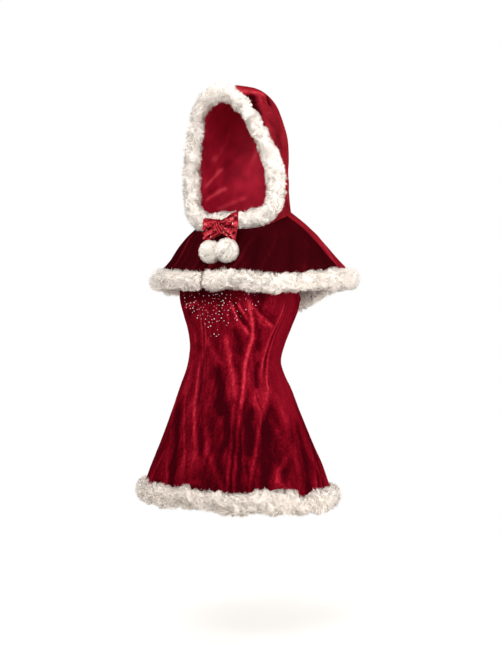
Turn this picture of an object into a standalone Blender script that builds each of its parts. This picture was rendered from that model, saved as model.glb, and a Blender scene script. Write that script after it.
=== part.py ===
"""Red velvet mini dress and hooded capelet with faux-fur bands, hollow and in the pose of wear.

The origin is the middle of the capelet's neckline, +Z is up and the front faces -Y, so the
wearer's left is at +X. Lengths are in millimetres until a mesh is made. An azimuth is the angle
round the body in degrees: 0 in front, 90 at the wearer's left side and 180 behind.
"""
from bisect import bisect_right
from math import asin, cos, degrees, exp, pi, radians, sin

import bmesh
import bpy
from mathutils import Vector

MM = 0.001
VELVET = 1.6            # wall of the velvet
SATIN = 1.0             # wall of the hood lining
SEAM_GAP = 0.3          # between two pieces at a seam
FUR_GAP = 0.7           # from a fur band's surface to the edge that it is sewn on
STEP = 0.2              # how far apart a surface is probed for its normal
STEP_RISE = 0.002       # the same as a share of the capelet's rise
STEP_SHARE = 0.01       # the same on a surface that runs from 0 to 1 both ways

# The dress, from below the hem to above the neckline
DRESS_SECTIONS = [      # height, half width, half depth, centre y
    (-700, 251, 223, -44),
    (-650, 236, 208, -45),
    (-600, 220, 191, -44),
    (-560, 204, 175, -45),
    (-520, 189, 158, -46),
    (-480, 175, 143, -48),
    (-440, 160, 128, -49),
    (-400, 145, 113, -51),
    (-370, 132, 100, -54),
    (-340, 124, 94, -53),
    (-310, 126, 95, -45),
    (-280, 132, 101, -36),
    (-240, 145, 113, -30),
    (-200, 158, 122, -26),
    (-160, 158, 120, -25),
    (-120, 150, 112, -25),
    (-70, 138, 100, -25),
]
DRESS_HEM = -645
HEM_TILT = 8            # the hem is higher on the wearer's right by this much, and lower on the left
DRESS_NECKLINE = [      # azimuth, height of the top edge
    (-40, -95),
    (0, -130),
    (34, -96),
    (64, -128),
    (98, -168),
    (126, -196),
    (152, -205),
    (180, -206),
    (208, -205),
]
BUST_AZIMUTH, BUST_HEIGHT = 33, -168
BUST_SPREAD, BUST_TALL = 19, 40       # degrees and millimetres to one standard deviation
BUST_FULLNESS = 13
BUST_VALLEY = 5                       # how far the cloth falls back between the cups
SKIRT_FLUTES = [        # azimuth, degrees to one standard deviation, depth at the hem, height it fades in
    (-162, 8, 9, -430),
    (-138, 7, 8, -450),
    (-112, 8, 9, -420),
    (-86, 7, 8, -440),
    (-60, 7, 8, -460),
    (-36, 6, 8, -430),
    (-15, 5, 6, -470),
    (6, 5, 8, -410),
    (29, 5, 8, -450),
    (48, 5, 7, -430),
    (69, 6, 7, -470),
    (94, 7, 10, -430),
    (121, 8, 8, -450),
    (146, 7, 9, -430),
    (172, 7, 7, -450),
]
FLUTE_VALLEY = 4        # how far the skirt falls back between its flutes, at the hem
FLUTE_FADE = 1.3        # how late the flutes of skirt and capelet grow to their depth
PRINCESS_SEAM = [       # share of the way up the panel, azimuth
    (-0.1, 25),
    (0.0, 25),
    (0.55, 27),
    (0.86, 33),
    (1.1, 35),
]
SIDE_SEAM = 86
BACK_SEAM = [
    (-0.1, 153),
    (0.0, 153),
    (0.55, 152),
    (1.1, 148),
]
DRESS_ROWS = 15

# The capelet; rise is 0 at the edge where the fur is sewn on and 1 at the neckline
CAPE_SECTIONS = [       # rise, half width, half depth, centre y
    (-0.4, 277, 240, 28),
    (0.0, 242, 205, 28),
    (0.11, 231, 189, 26),
    (0.28, 214, 166, 20),
    (0.55, 189, 141, 9),
    (0.82, 154, 119, 0),
    (1.0, 120, 103, -8),
    (1.1, 104, 96, -11),
]
NECK_HEIGHT, NECK_TILT = 11, 29       # middle of the neckline, and its rise and fall to back and front
NECK_CORNER = 0.08                    # how much squarer than an ellipse the neckline is in front
NECK_DIP = 8                          # how far those corners hang
CAPE_EDGE = [           # azimuth, height of the cloth's lower edge
    (-210, -146),
    (-180, -168),
    (-135, -146),
    (-92, -131),
    (-57, -118),
    (-17, -122),
    (0, -123),
    (44, -132),
    (76, -126),
    (115, -118),
    (145, -118),
    (165, -140),
    (180, -168),
    (225, -146),
]
CAPE_FLUTES = [         # azimuth, degrees to one standard deviation, depth at the edge
    (-158, 9, 7),
    (-126, 9, 8),
    (-92, 8, 7),
    (-58, 8, 6),
    (-27, 7, 4),
    (22, 8, 3),
    (52, 8, 5),
    (84, 8, 7),
    (117, 9, 8),
    (149, 9, 7),
    (177, 8, 6),
]
CAPE_SIDE_SEAM = 98
CAPE_OPENING = [        # rise, x of the opening's middle, half of its width
    (-0.3, 6, 3.5),
    (0.0, 7, 3.5),
    (0.13, 10, 9),
    (0.3, 16, 10),
    (0.55, 18, 3),
    (1.1, 13, 1),
]
CAPE_ROWS = (0, 0.13, 0.27, 0.42, 0.57, 0.7, 0.8, 0.9, 1)

# The hood and its fur band
BAND_FRONT = [          # azimuth on the neckline, radius of the fur, for the stretch that lies on it
    (0, 20.5),
    (22, 23),
    (45, 24.5),
]
BAND_INWARD, BAND_UP = 0.45, 0.89     # from the neckline to the middle of the band
BAND_RISE = [           # x, y, z, radius, and x and z of the way back to the hood's edge for each 1 of y
    (118, -62, 30, 24.5, -0.15, -0.25),
    (130, -58, 74, 24.5, -0.2, -0.1),
    (127, -63, 122, 24.5, -0.2, 0.0),
    (113, -74, 176, 23, -0.18, 0.08),
    (90, -87, 231, 21, -0.16, 0.2),
    (66, -97, 274, 21, -0.14, 0.3),
    (38, -104, 303, 22.5, -0.08, 0.38),
    (0, -107, 315, 23, 0.0, 0.4),
]
HOOD_CORNER = 62                      # azimuth where the hood's front edge leaves the neckline
CROWN_SEAM = [          # share of the way from the front edge to the back of the crown, y, z
    (0.12, -62, 338),
    (0.3, -26, 343),
    (0.5, 12, 339),
    (0.7, 42, 325),
    (0.86, 64, 304),
]
CROWN_BACK = (79, 284)
BACK_SEAM_HOOD = [      # share of the way up from the neckline, y, z
    (0.2, 97, 86),
    (0.45, 101, 150),
    (0.7, 97, 222),
    (0.87, 89, 258),
]
HOOD_SWELL = [          # share of the way up, how far the cloth swells past the lines between its seams
    (0, 0),
    (0.12, -8),
    (0.25, -11),
    (0.4, -2),
    (0.56, 11),
    (0.78, 23),
    (0.9, 15),
    (1, 0),
]
SWELL_FORWARD = 0.9                   # less than 1 moves the swell's middle forward
SWELL_FROM_Y, SWELL_LIFT = 10, 20     # the line that the cloth swells away from, and how much upward
HOOD_COLUMNS, HOOD_ROWS = 12, 13

# Fur bands on the two hems
CAPE_FUR_TALL, CAPE_FUR_THICK = 47, 36
DRESS_FUR_TALL, DRESS_FUR_THICK = 49, 42
FUR_HANG = 1.2          # how much more a hem band hangs straight down than in line with its cloth
FUR_SIDES = 8
BAND_SEGMENTS = 56
BAND_GAP = 2            # between the ends of the hood's band, behind the bow
BAND_BEHIND, BAND_HEART = 20, 130     # the point inside the hood that the band's rings are turned from
FUR_LUMP = 0.05                       # share by which the fur swells and thins along a band
LUMP_SHORT, LUMP_LONG = 9, 31         # lengths that the lumps follow each other at

# Shoulder straps of the dress, under the capelet
STRAP_THICK = 1.5
STRAP_RISE, STRAP_HALF_RISE = 0.86, 0.031   # middle and half width, as shares of the capelet's rise
STRAP_TURN = 3                        # half width on the dress, in degrees
STRAP_CLEAR = 0.4                     # from the dress's edge
STRAP_UNDER = 1.9                     # from the capelet's inner face, more than its facets need
STRAP_LEG = (0.5, 0.9)                # where a strap is still straight between the dress and the shoulder
STRAP_ROWS = 30
STRAP_AZIMUTHS = (66, 78, 90, 102, 114)
STRAP_FRONT, STRAP_BACK = 34, 146     # azimuths of its ends on the dress

# The bow
BOW_CENTRE = (12, -129.4, -15)
BOW_LOOPS = [           # name, side, length, height at the end, how far the end drops
    ("bow_loop_right", -1, 50, 52, 8),
    ("bow_loop_left", 1, 62, 72, 0),
]
BOW_WALL = 2
BOW_PINCH = 9.5                       # half height of a loop where it enters the knot
BOW_PINCH_DEPTH, BOW_SWELL = 4.8, 12
BOW_LEAN = 7            # how far the end of a loop stands forward of the knot's middle
BOW_NOTCH = 0.12        # share that the end of a loop is shorter in the middle
BOW_ROUND, BOW_FLARE = 0.7, 1.4       # how soon a loop reaches out, and how late it spreads
BOW_SQUASH = 0.3        # share that the folded edges of a loop are thinner than its middle
BOW_ROWS, BOW_COLUMNS = 6, 16
KNOT_WIDE, KNOT_TALL, KNOT_DEEP = 16, 36, 22
KNOT_TURNED_IN = 0.12   # share that the knot is narrower outside, where its edges are folded in
KNOT_SEGMENTS = 20

# The pompoms
POMPOM_TIP, POMPOM_ROOT = 27.5, 19.5
POMPOM_SINK = 1.6       # how far the roundest ball around the tips would reach into the capelet
LOCK_SHORTER = 1.5      # two locks in three are once or twice this much shorter
POMPOMS = [             # name, x, z
    ("pompom_right", 1.5, -75),
    ("pompom_left", 56, -73),
]


def read(table, station):
    """The values of a table at a station, on a smooth curve through its rows."""
    first = bisect_right([row[0] for row in table], station) - 1
    first = min(max(first, 0), len(table) - 2)
    here, there = table[first], table[first + 1]
    before = table[max(first - 1, 0)]
    after = table[min(first + 2, len(table) - 1)]
    span = there[0] - here[0]
    share = (station - here[0]) / span
    values = []
    for column in range(1, len(here)):
        slope_here = (there[column] - before[column]) / (there[0] - before[0]) * span
        slope_there = (after[column] - here[column]) / (after[0] - here[0]) * span
        rise = there[column] - here[column]
        bend = slope_here + slope_there - 2 * rise
        sag = 3 * rise - 2 * slope_here - slope_there
        values.append(here[column] + share * (slope_here + share * (sag + share * bend)))
    return values


def bell(distance, spread):
    return exp(-0.5 * (distance / spread) ** 2)


def turn_between(azimuth, other):
    """Degrees from one azimuth to the other, the short way round."""
    return (azimuth - other + 180) % 360 - 180


def spread_evenly(start, end, count):
    return [start + (end - start) * index / count for index in range(count + 1)]


def edge_azimuths(panels):
    """Azimuths of the columns of a row of panels along their lower edges."""
    azimuths = []
    for _, left_edge, right_edge, columns in panels:
        azimuths += spread_evenly(left_edge(0), right_edge(0), columns)[:-1]
    return azimuths + [panels[-1][2](0)]


def normal_at(surface, across, up, step_across, step_up):
    """Outward normal of a surface whose first value runs to the wearer's left and second one up."""
    along = surface(across + step_across, up) - surface(across - step_across, up)
    rising = surface(across, up + step_up) - surface(across, up - step_up)
    return along.cross(rising).normalized()


# Materials and meshes


def cloth_material(name, colour, roughness, sheen):
    material = bpy.data.materials.new(name)
    material.use_nodes = True
    shader = material.node_tree.nodes["Principled BSDF"]
    shader.inputs["Base Color"].default_value = (*colour, 1)
    shader.inputs["Roughness"].default_value = roughness
    shader.inputs["Metallic"].default_value = 0
    shader.inputs["Sheen Weight"].default_value = sheen
    return material


def finish(name, work, material, smooth=True):
    """Make an object of a bmesh whose points are in millimetres."""
    bmesh.ops.scale(work, vec=(MM, MM, MM), verts=work.verts)
    mesh = bpy.data.meshes.new(name)
    work.to_mesh(mesh)
    work.free()
    mesh.materials.append(material)
    if smooth:
        mesh.shade_smooth()
        mesh.set_sharp_from_angle(angle=radians(50))
    piece = bpy.data.objects.new(name, mesh)
    bpy.context.scene.collection.objects.link(piece)
    return piece


def wall(name, outer, inner, material, mirror=False):
    """A closed wall between two grids of points, whose rows go up and columns to the wearer's left.

    Both faces are split along the same diagonals, so that walls laid one in another stay apart.
    """
    if mirror:
        outer, inner = ([[Vector((-x, y, z)) for x, y, z in reversed(row)] for row in grid]
                        for grid in (outer, inner))
    work = bmesh.new()
    out = [[work.verts.new(point) for point in row] for row in outer]
    ins = [[work.verts.new(point) for point in row] for row in inner]
    rows, columns = len(out) - 1, len(out[0]) - 1
    for row in range(rows):
        for column in range(columns):
            for grid, turn in ((out, 1), (ins, -1)):
                near, far = grid[row][column], grid[row + 1][column + 1]
                work.faces.new((near, grid[row][column + 1], far)[::turn])
                work.faces.new((near, far, grid[row + 1][column])[::turn])
    for column in range(columns):
        work.faces.new((out[0][column + 1], out[0][column], ins[0][column], ins[0][column + 1]))
        work.faces.new((out[rows][column], out[rows][column + 1],
                        ins[rows][column + 1], ins[rows][column]))
    for row in range(rows):
        work.faces.new((out[row][0], out[row + 1][0], ins[row + 1][0], ins[row][0]))
        work.faces.new((out[row + 1][columns], out[row][columns],
                        ins[row][columns], ins[row + 1][columns]))
    return finish(name, work, material)


def tube(name, rings, material, closed):
    """Join rings of points, each turning anticlockwise as seen from the ring after it."""
    work = bmesh.new()
    loops = [[work.verts.new(point) for point in ring] for ring in rings]
    sides = len(rings[0])
    pairs = list(zip(loops, loops[1:])) + ([(loops[-1], loops[0])] if closed else [])
    for near, far in pairs:
        for side in range(sides):
            after = (side + 1) % sides
            work.faces.new((near[side], near[after], far[after], far[side]))
    if not closed:
        work.faces.new(loops[0][::-1])
        work.faces.new(loops[-1])
    return finish(name, work, material)


def hung(down, outward):
    """The way that a hem band hangs and the way out from it, from those of the cloth above."""
    down = (down + Vector((0, 0, -FUR_HANG))).normalized()
    return down, (outward - down * outward.dot(down)).normalized()


def fur_ring(centre, outward, upward, half_thick, half_tall, place):
    """One ring of a fur band; place is the distance along the band, which its lumps follow."""
    ring = []
    for side in range(FUR_SIDES):
        turn = 2 * pi * side / FUR_SIDES
        lump = 1 - FUR_LUMP * (0.5 + 0.5 * sin(place / LUMP_SHORT + 2 * sin(turn + place / LUMP_LONG)))
        ring.append(centre + (outward * half_thick * cos(turn) + upward * half_tall * sin(turn)) * lump)
    return ring


# The dress


def dress_top(azimuth):
    return read(DRESS_NECKLINE, abs((azimuth + 180) % 360 - 180))[0]


def dress_bottom(azimuth):
    return DRESS_HEM - HEM_TILT * sin(radians(azimuth))


def skirt_flutes(azimuth, height):
    """How far the flutes push the skirt out at one place."""
    push = 0
    valley = FLUTE_VALLEY / len(SKIRT_FLUTES)
    for middle, spread, depth, start in SKIRT_FLUTES:
        share = min(max((start - height) / (start - DRESS_HEM), 0), 1.1)
        push += (depth * bell(turn_between(azimuth, middle), spread) - valley) * share ** FLUTE_FADE
    return push


def dress_point(azimuth, height):
    half_width, half_depth, centre_y = read(DRESS_SECTIONS, height)
    aside = abs((azimuth + 180) % 360 - 180)
    tall = bell(height - BUST_HEIGHT, BUST_TALL)
    push = BUST_FULLNESS * tall * bell(aside - BUST_AZIMUTH, BUST_SPREAD)
    push -= BUST_VALLEY * tall * bell(aside, BUST_SPREAD / 2)
    push += skirt_flutes(azimuth, height)
    turn = radians(azimuth)
    return Vector(((half_width + push) * sin(turn), centre_y - (half_depth + push) * cos(turn), height))


def dress_panel(name, left_edge, right_edge, columns, material):
    """One panel of the dress between two seams, each a function from share up to azimuth."""
    outer, inner = [], []
    for share in spread_evenly(0, 1, DRESS_ROWS):
        outer_row, inner_row = [], []
        for column, azimuth in enumerate(spread_evenly(left_edge(share), right_edge(share), columns)):
            height = dress_bottom(azimuth) + share * (dress_top(azimuth) - dress_bottom(azimuth))
            per_degree = (dress_point(azimuth + 0.5, height) - dress_point(azimuth - 0.5, height)).length
            azimuth += SEAM_GAP / 2 / per_degree * ((column == 0) - (column == columns))
            point = dress_point(azimuth, height)
            outer_row.append(point)
            inner_row.append(point - VELVET * normal_at(dress_point, azimuth, height, STEP, STEP))
        outer.append(outer_row)
        inner.append(inner_row)
    wall(name, outer, inner, material)


def dress_panels():
    """Name, both seams as functions from share up to azimuth, and columns of each panel, in order."""
    def princess(share):
        return read(PRINCESS_SEAM, share)[0]

    def back(share):
        return read(BACK_SEAM, share)[0]

    return [
        ("dress_front", lambda v: -princess(v), princess, 14),
        ("dress_side_front_left", princess, lambda v: SIDE_SEAM, 12),
        ("dress_side_back_left", lambda v: SIDE_SEAM, back, 12),
        ("dress_back_left", back, lambda v: 180, 6),
        ("dress_back_right", lambda v: 180, lambda v: 360 - back(v), 6),
        ("dress_side_back_right", lambda v: 360 - back(v), lambda v: 360 - SIDE_SEAM, 12),
        ("dress_side_front_right", lambda v: 360 - SIDE_SEAM, lambda v: 360 - princess(v), 12),
    ]


def make_dress(velvet, fur):
    for name, left_edge, right_edge, columns in dress_panels():
        dress_panel(name, left_edge, right_edge, columns, velvet)

    rings = []
    place = 0
    before = None
    for azimuth in edge_azimuths(dress_panels())[:-1]:
        height = dress_bottom(azimuth)
        edge = dress_point(azimuth, height)
        outward = normal_at(dress_point, azimuth, height, STEP, STEP)
        middle = edge - outward * VELVET / 2
        down, outward = hung((dress_point(azimuth, height - STEP) - edge).normalized(), outward)
        centre = middle + down * (DRESS_FUR_TALL / 2 + FUR_GAP)
        place += (edge - (before or edge)).length
        before = edge
        rings.append(fur_ring(centre, outward, -down, DRESS_FUR_THICK / 2, DRESS_FUR_TALL / 2, place))
    tube("dress_fur_hem", rings[::-1], fur, closed=True)


# The capelet


def neckline(azimuth):
    """A point of the capelet's neckline, where hood and capelet meet."""
    return cape_point(azimuth, 1)


def cape_point(azimuth, rise):
    half_width, half_depth, centre_y = read(CAPE_SECTIONS, rise)
    turn = radians(azimuth)
    fall = max(1 - rise, 0)
    push = sum(depth * bell(turn_between(azimuth, middle), spread) for middle, spread, depth in CAPE_FLUTES)
    push *= fall ** FLUTE_FADE
    front = sin(2 * turn) ** 2 * (cos(turn) > 0)
    corner = 1 + NECK_CORNER * max(rise, 0) ** 2 * front
    neck_height = NECK_HEIGHT - NECK_TILT * cos(turn) - NECK_DIP * front
    edge_height = read(CAPE_EDGE, turn_between(azimuth, 0))[0]
    return Vector(((half_width + push) * sin(turn) * corner,
                   centre_y - (half_depth + push) * cos(turn) * corner,
                   edge_height + rise * (neck_height - edge_height)))


def opening_azimuth(rise, side):
    """Azimuth of a front edge of the capelet; side is 1 for the wearer's left."""
    middle, half_gap = read(CAPE_OPENING, rise)
    half_width = read(CAPE_SECTIONS, rise)[0]
    return degrees(asin((middle + side * half_gap) / half_width))


def cape_panel(name, left_edge, right_edge, columns, material):
    outer, inner = [], []
    for rise in CAPE_ROWS:
        outer_row, inner_row = [], []
        per_degree = (cape_point(90.5, rise) - cape_point(89.5, rise)).length
        for column, azimuth in enumerate(spread_evenly(left_edge(rise), right_edge(rise), columns)):
            azimuth += SEAM_GAP / 2 / per_degree * ((column == 0) - (column == columns))
            point = cape_point(azimuth, rise)
            outer_row.append(point)
            inner_row.append(point - VELVET * normal_at(cape_point, azimuth, rise, STEP, STEP_RISE))
        outer.append(outer_row)
        inner.append(inner_row)
    wall(name, outer, inner, material)


def cape_panels():
    """Name, both edges as functions from rise to azimuth, and columns of each panel, in order."""
    return [
        ("cape_front_left", lambda r: opening_azimuth(r, 1), lambda r: CAPE_SIDE_SEAM, 16),
        ("cape_back", lambda r: CAPE_SIDE_SEAM, lambda r: 360 - CAPE_SIDE_SEAM, 28),
        ("cape_front_right", lambda r: 360 - CAPE_SIDE_SEAM, lambda r: 360 + opening_azimuth(r, -1), 16),
    ]


def make_cape(velvet, fur):
    for name, left_edge, right_edge, columns in cape_panels():
        cape_panel(name, left_edge, right_edge, columns, velvet)

    rings = []
    place = 0
    before = None
    for azimuth in edge_azimuths(cape_panels()):
        edge = cape_point(azimuth, 0)
        outward = normal_at(cape_point, azimuth, 0, STEP, STEP_RISE)
        middle = edge - outward * VELVET / 2
        down, outward = hung((cape_point(azimuth, -STEP_RISE) - edge).normalized(), outward)
        centre = middle + down * (CAPE_FUR_TALL / 2 + FUR_GAP)
        place += (edge - (before or edge)).length
        before = edge
        rings.append(fur_ring(centre, outward, -down, CAPE_FUR_THICK / 2, CAPE_FUR_TALL / 2, place))
    tube("cape_fur_hem", rings[::-1], fur, closed=False)


# The hood


def band_half():
    """Rows of distance, x, y, z and radius along the band's left half, from the front to the crown."""
    rows = []
    for azimuth, radius in BAND_FRONT:
        turn = radians(azimuth)
        inward = Vector((-sin(turn), cos(turn), 0)) * BAND_INWARD
        centre = neckline(azimuth) + (inward + Vector((0, 0, BAND_UP))) * (radius + FUR_GAP)
        rows.append((*centre, radius))
    rows += [row[:4] for row in BAND_RISE]
    table = [(0, *rows[0])]
    for near, far in zip(rows, rows[1:]):
        table.append((table[-1][0] + (Vector(far[:3]) - Vector(near[:3])).length, *far))
    return table


def band_loop():
    """The whole band as one table, from the crown down the wearer's left and up the right."""
    half = band_half()
    length = half[-1][0]
    left = [(length - distance, x, y, z, radius) for distance, x, y, z, radius in reversed(half)]
    right = [(length + distance, -x, y, z, radius) for distance, x, y, z, radius in half[1:]]
    loop = left + right
    before = [(row[0] - 2 * length, *row[1:]) for row in loop[-3:-1]]
    after = [(row[0] + 2 * length, *row[1:]) for row in loop[1:3]]
    return before + loop + after, length


def make_band(fur):
    table, length = band_loop()
    meeting = length - BOW_CENTRE[0]
    rings = []
    for distance in spread_evenly(meeting - 2 * length + BAND_GAP / 2, meeting - BAND_GAP / 2, BAND_SEGMENTS):
        wrapped = distance % (2 * length)
        *place, radius = read(table, wrapped)
        *ahead, _ = read(table, wrapped + STEP)
        *behind, _ = read(table, wrapped - STEP)
        along = (Vector(ahead) - Vector(behind)).normalized()
        outward = Vector(place) - Vector((0, place[1] + BAND_BEHIND, BAND_HEART))
        outward = (outward - along * outward.dot(along)).normalized()
        upward = outward.cross(along)
        rings.append(fur_ring(Vector(place), outward, upward, radius, radius, distance))
    tube("hood_fur_band", rings[::-1], fur, closed=False)


def hood_edge_table():
    """The hood's front edge on the wearer's left, by share of the way up."""
    points = [neckline(HOOD_CORNER) + Vector((0, 0, SEAM_GAP))]
    for x, y, z, radius, lean_x, lean_z in BAND_RISE:
        back = Vector((lean_x, 1, lean_z)).normalized()
        points.append(Vector((x, y, z)) + back * (radius + FUR_GAP))
    lengths = [0]
    for near, far in zip(points, points[1:]):
        lengths.append(lengths[-1] + (far - near).length)
    return [(length / lengths[-1], *point) for length, point in zip(lengths, points)]


HOOD_EDGE = []
HOOD_CROWN = []
HOOD_BACK = []


def lay_out_hood():
    """Work out the three seam tables that the hood's surface is stretched between."""
    HOOD_EDGE.extend(hood_edge_table())
    top = HOOD_EDGE[-1][1:]
    HOOD_CROWN.append((0, *top))
    HOOD_CROWN.extend((share, 0, y, z) for share, y, z in CROWN_SEAM)
    HOOD_CROWN.append((1, 0, *CROWN_BACK))
    HOOD_BACK.append((0, *(neckline(180) + Vector((0, 0, SEAM_GAP)))))
    HOOD_BACK.extend((share, 0, y, z) for share, y, z in BACK_SEAM_HOOD)
    HOOD_BACK.append((1, 0, *CROWN_BACK))


def hood_frame(back, up):
    """The hood's surface stretched straight between its four edges."""
    azimuth = HOOD_CORNER + back * (180 - HOOD_CORNER)
    bottom = neckline(azimuth) + Vector((0, 0, SEAM_GAP))
    crown = Vector(read(HOOD_CROWN, back))
    edge = Vector(read(HOOD_EDGE, up))
    seam = Vector(read(HOOD_BACK, up))
    corners = ((1 - back) * (1 - up) * Vector(HOOD_EDGE[0][1:]) + (1 - back) * up * Vector(HOOD_EDGE[-1][1:])
               + back * (1 - up) * Vector(HOOD_BACK[0][1:]) + back * up * Vector(HOOD_BACK[-1][1:]))
    return (1 - up) * bottom + up * crown + (1 - back) * edge + back * seam - corners


def hood_point(back, up):
    """A point of the hood's outer face on the wearer's left."""
    frame = hood_frame(back, up)
    swell = read(HOOD_SWELL, up)[0] * sin(pi * back ** SWELL_FORWARD)
    away = (frame - Vector((0, SWELL_FROM_Y, frame.z - SWELL_LIFT))).normalized()
    return frame + away * swell


def off_edge(share):
    """The nearest place to a share from 0 to 1 where a surface can be probed on both sides."""
    return min(max(share, 2 * STEP_SHARE), 1 - 2 * STEP_SHARE)


def hood_grid(depth):
    """Points of the left half of the hood, at a depth under its outer face."""
    grid = []
    for up in spread_evenly(0, 1, HOOD_ROWS):
        row = []
        for back in spread_evenly(0, 1, HOOD_COLUMNS):
            normal = normal_at(hood_point, off_edge(back), off_edge(up), STEP_SHARE, STEP_SHARE)
            point = hood_point(back, up)
            if back == 1 or up == 1:
                normal = Vector((0, normal.y, normal.z)).normalized()
                point.x = SEAM_GAP / 2
            elif up == 0:
                normal = Vector((normal.x, normal.y, 0)).normalized()
            row.append(point - normal * depth)
        grid.append(row)
    return grid


def make_hood(velvet, satin):
    lay_out_hood()
    outer, inner = hood_grid(0), hood_grid(VELVET)
    wall("hood_left", outer, inner, velvet)
    wall("hood_right", outer, inner, velvet, mirror=True)
    outer, inner = hood_grid(VELVET + SEAM_GAP), hood_grid(VELVET + SEAM_GAP + SATIN)
    wall("hood_lining_left", outer, inner, satin)
    wall("hood_lining_right", outer, inner, satin, mirror=True)


# Shoulder straps


def strap_stop(surface, places, depth, step_up):
    """Three points and normals across a strap, at a depth under a surface."""
    stop = []
    for across, up in places:
        normal = normal_at(surface, across, up, STEP, step_up)
        stop += [*(surface(across, up) - normal * depth), *normal]
    return stop


def between(near, far, share):
    return [here + (there - here) * share for here, there in zip(near, far)]


def make_strap(name, side, velvet):
    """A strap that passes just under the capelet on one shoulder and ends on the dress."""
    ends = []
    for azimuth, turn in ((STRAP_FRONT, STRAP_TURN), (STRAP_BACK, -STRAP_TURN)):
        places = [(side * around, dress_top(around) + STRAP_CLEAR)
                  for around in (azimuth - turn, azimuth, azimuth + turn)]
        ends.append(strap_stop(dress_point, places, 0, STEP))
    over = []
    for azimuth in STRAP_AZIMUTHS:
        places = [(side * azimuth, STRAP_RISE - across) for across in (-STRAP_HALF_RISE, 0, STRAP_HALF_RISE)]
        over.append(strap_stop(cape_point, places, VELVET + STRAP_UNDER, STEP_RISE))
    front_leg = [between(ends[0], over[0], share) for share in STRAP_LEG]
    back_leg = [between(ends[1], over[-1], share) for share in STRAP_LEG]
    stops = [ends[0]] + front_leg + over + back_leg[::-1] + [ends[1]]
    route = [(0, *stops[0])]
    for near, far in zip(stops, stops[1:]):
        route.append((route[-1][0] + (Vector(far[6:9]) - Vector(near[6:9])).length, *far))
    outer, inner = [], []
    for distance in spread_evenly(0, route[-1][0], STRAP_ROWS):
        values = read(route, distance)
        points = [Vector(values[start:start + 3]) for start in (0, 6, 12)]
        normals = [Vector(values[start:start + 3]).normalized() for start in (3, 9, 15)]
        outer.append(points[::side])
        inner.append([point - normal * STRAP_THICK for point, normal in zip(points, normals)][::side])
    wall(name, outer, inner, velvet)


# Bow and pompoms


def bow_surface(length, end_height, drop):
    """The outer face of a loop that goes out in front, turns and comes back behind the knot."""
    def point(way, up):
        out = max(sin(pi * way), 0) ** BOW_ROUND
        reach = 1 + length * out * (1 - BOW_NOTCH * (1 - up * up) * out)
        half_height = BOW_PINCH + (end_height / 2 - BOW_PINCH) * out ** BOW_FLARE
        half_depth = BOW_PINCH_DEPTH + BOW_SWELL * out ** 2 * (1 - BOW_SQUASH * up * up)
        return Vector((reach, -BOW_LEAN * out ** 2 - half_depth * cos(pi * way), up * half_height - drop * out))
    return point


def make_bow(velvet):
    centre = Vector(BOW_CENTRE)
    for name, side, length, end_height, drop in BOW_LOOPS:
        surface = bow_surface(length, end_height, drop)
        outer, inner = [], []
        for up in spread_evenly(-1, 1, BOW_ROWS):
            outer_row, inner_row = [], []
            for way in spread_evenly(0, 1, BOW_COLUMNS):
                point = surface(way, up)
                normal = normal_at(surface, off_edge(way), up, STEP_SHARE, STEP_SHARE)
                outer_row.append(point)
                inner_row.append(point - normal * BOW_WALL)
            outer.append(outer_row)
            inner.append(inner_row)
        loop = wall(name, outer, inner, velvet, mirror=side < 0)
        loop.location = centre * MM

    rings = []
    outside, inside = KNOT_WIDE / 2 * (1 - KNOT_TURNED_IN), KNOT_WIDE / 2
    for turn in spread_evenly(0, 2 * pi, KNOT_SEGMENTS)[:-1]:
        rings.append([Vector((x, (KNOT_DEEP / 2 - depth) * sin(turn), (KNOT_TALL / 2 - depth) * cos(turn)))
                      for x, depth in ((-outside, 0), (outside, 0), (inside, BOW_WALL), (-inside, BOW_WALL))])
    knot = tube("bow_knot", rings, velvet, closed=True)
    knot.location = centre * MM


def pompom_y(x, z):
    """Where a ball of the pompoms' size in front of the capelet just clears it."""
    clear = POMPOM_TIP + SEAM_GAP - POMPOM_SINK
    y = 0
    for azimuth in spread_evenly(-20, 50, 35):
        for rise in spread_evenly(0, 1, 30):
            point = cape_point(azimuth, rise)
            beside = (point.x - x) ** 2 + (point.z - z) ** 2
            if beside < clear ** 2:
                y = min(y, point.y - (clear ** 2 - beside) ** 0.5)
    return y


def make_pompoms(fur):
    """Balls of three-sided locks, resting on the front of the capelet."""
    for name, x, z in POMPOMS:
        work = bmesh.new()
        bmesh.ops.create_icosphere(work, subdivisions=2, radius=POMPOM_ROOT)
        tips = bmesh.ops.poke(work, faces=work.faces)["verts"]
        for index, tip in enumerate(tips):
            tip.co = tip.co.normalized() * (POMPOM_TIP - LOCK_SHORTER * (index % 3))
        pompom = finish(name, work, fur, smooth=False)
        pompom.location = Vector((x, pompom_y(x, z), z)) * MM


def main():
    for piece in list(bpy.data.objects):
        bpy.data.objects.remove(piece)
    velvet = cloth_material("velvet", (0.19, 0.008, 0.014), 0.55, 0.6)
    satin = cloth_material("satin", (0.24, 0.006, 0.018), 0.3, 0.1)
    fur = cloth_material("faux_fur", (0.86, 0.82, 0.76), 0.9, 0.2)
    make_dress(velvet, fur)
    make_cape(velvet, fur)
    make_band(fur)
    make_hood(velvet, satin)
    make_strap("dress_strap_left", 1, velvet)
    make_strap("dress_strap_right", -1, velvet)
    make_bow(velvet)
    make_pompoms(fur)


main()
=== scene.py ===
# %% [markdown]
# # Christmas dress costume
#
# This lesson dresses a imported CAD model: a red velvet mini dress under a hooded capelet, both
# trimmed with white faux fur. The CAD model gives every piece its place and size. Here each cloth
# piece gets its creases and its velvet, each fur band gets its pile, and the small things are
# added: the crystals, the sequins and the finish of the bow.
#
# The set stands hollow in the pose of wear. Lengths in the tables are in millimetres, and the
# front faces -Y, so the wearer's left is at +X.

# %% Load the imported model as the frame
from collections import Counter
from math import cos, pi, radians, sin, tau

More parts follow.
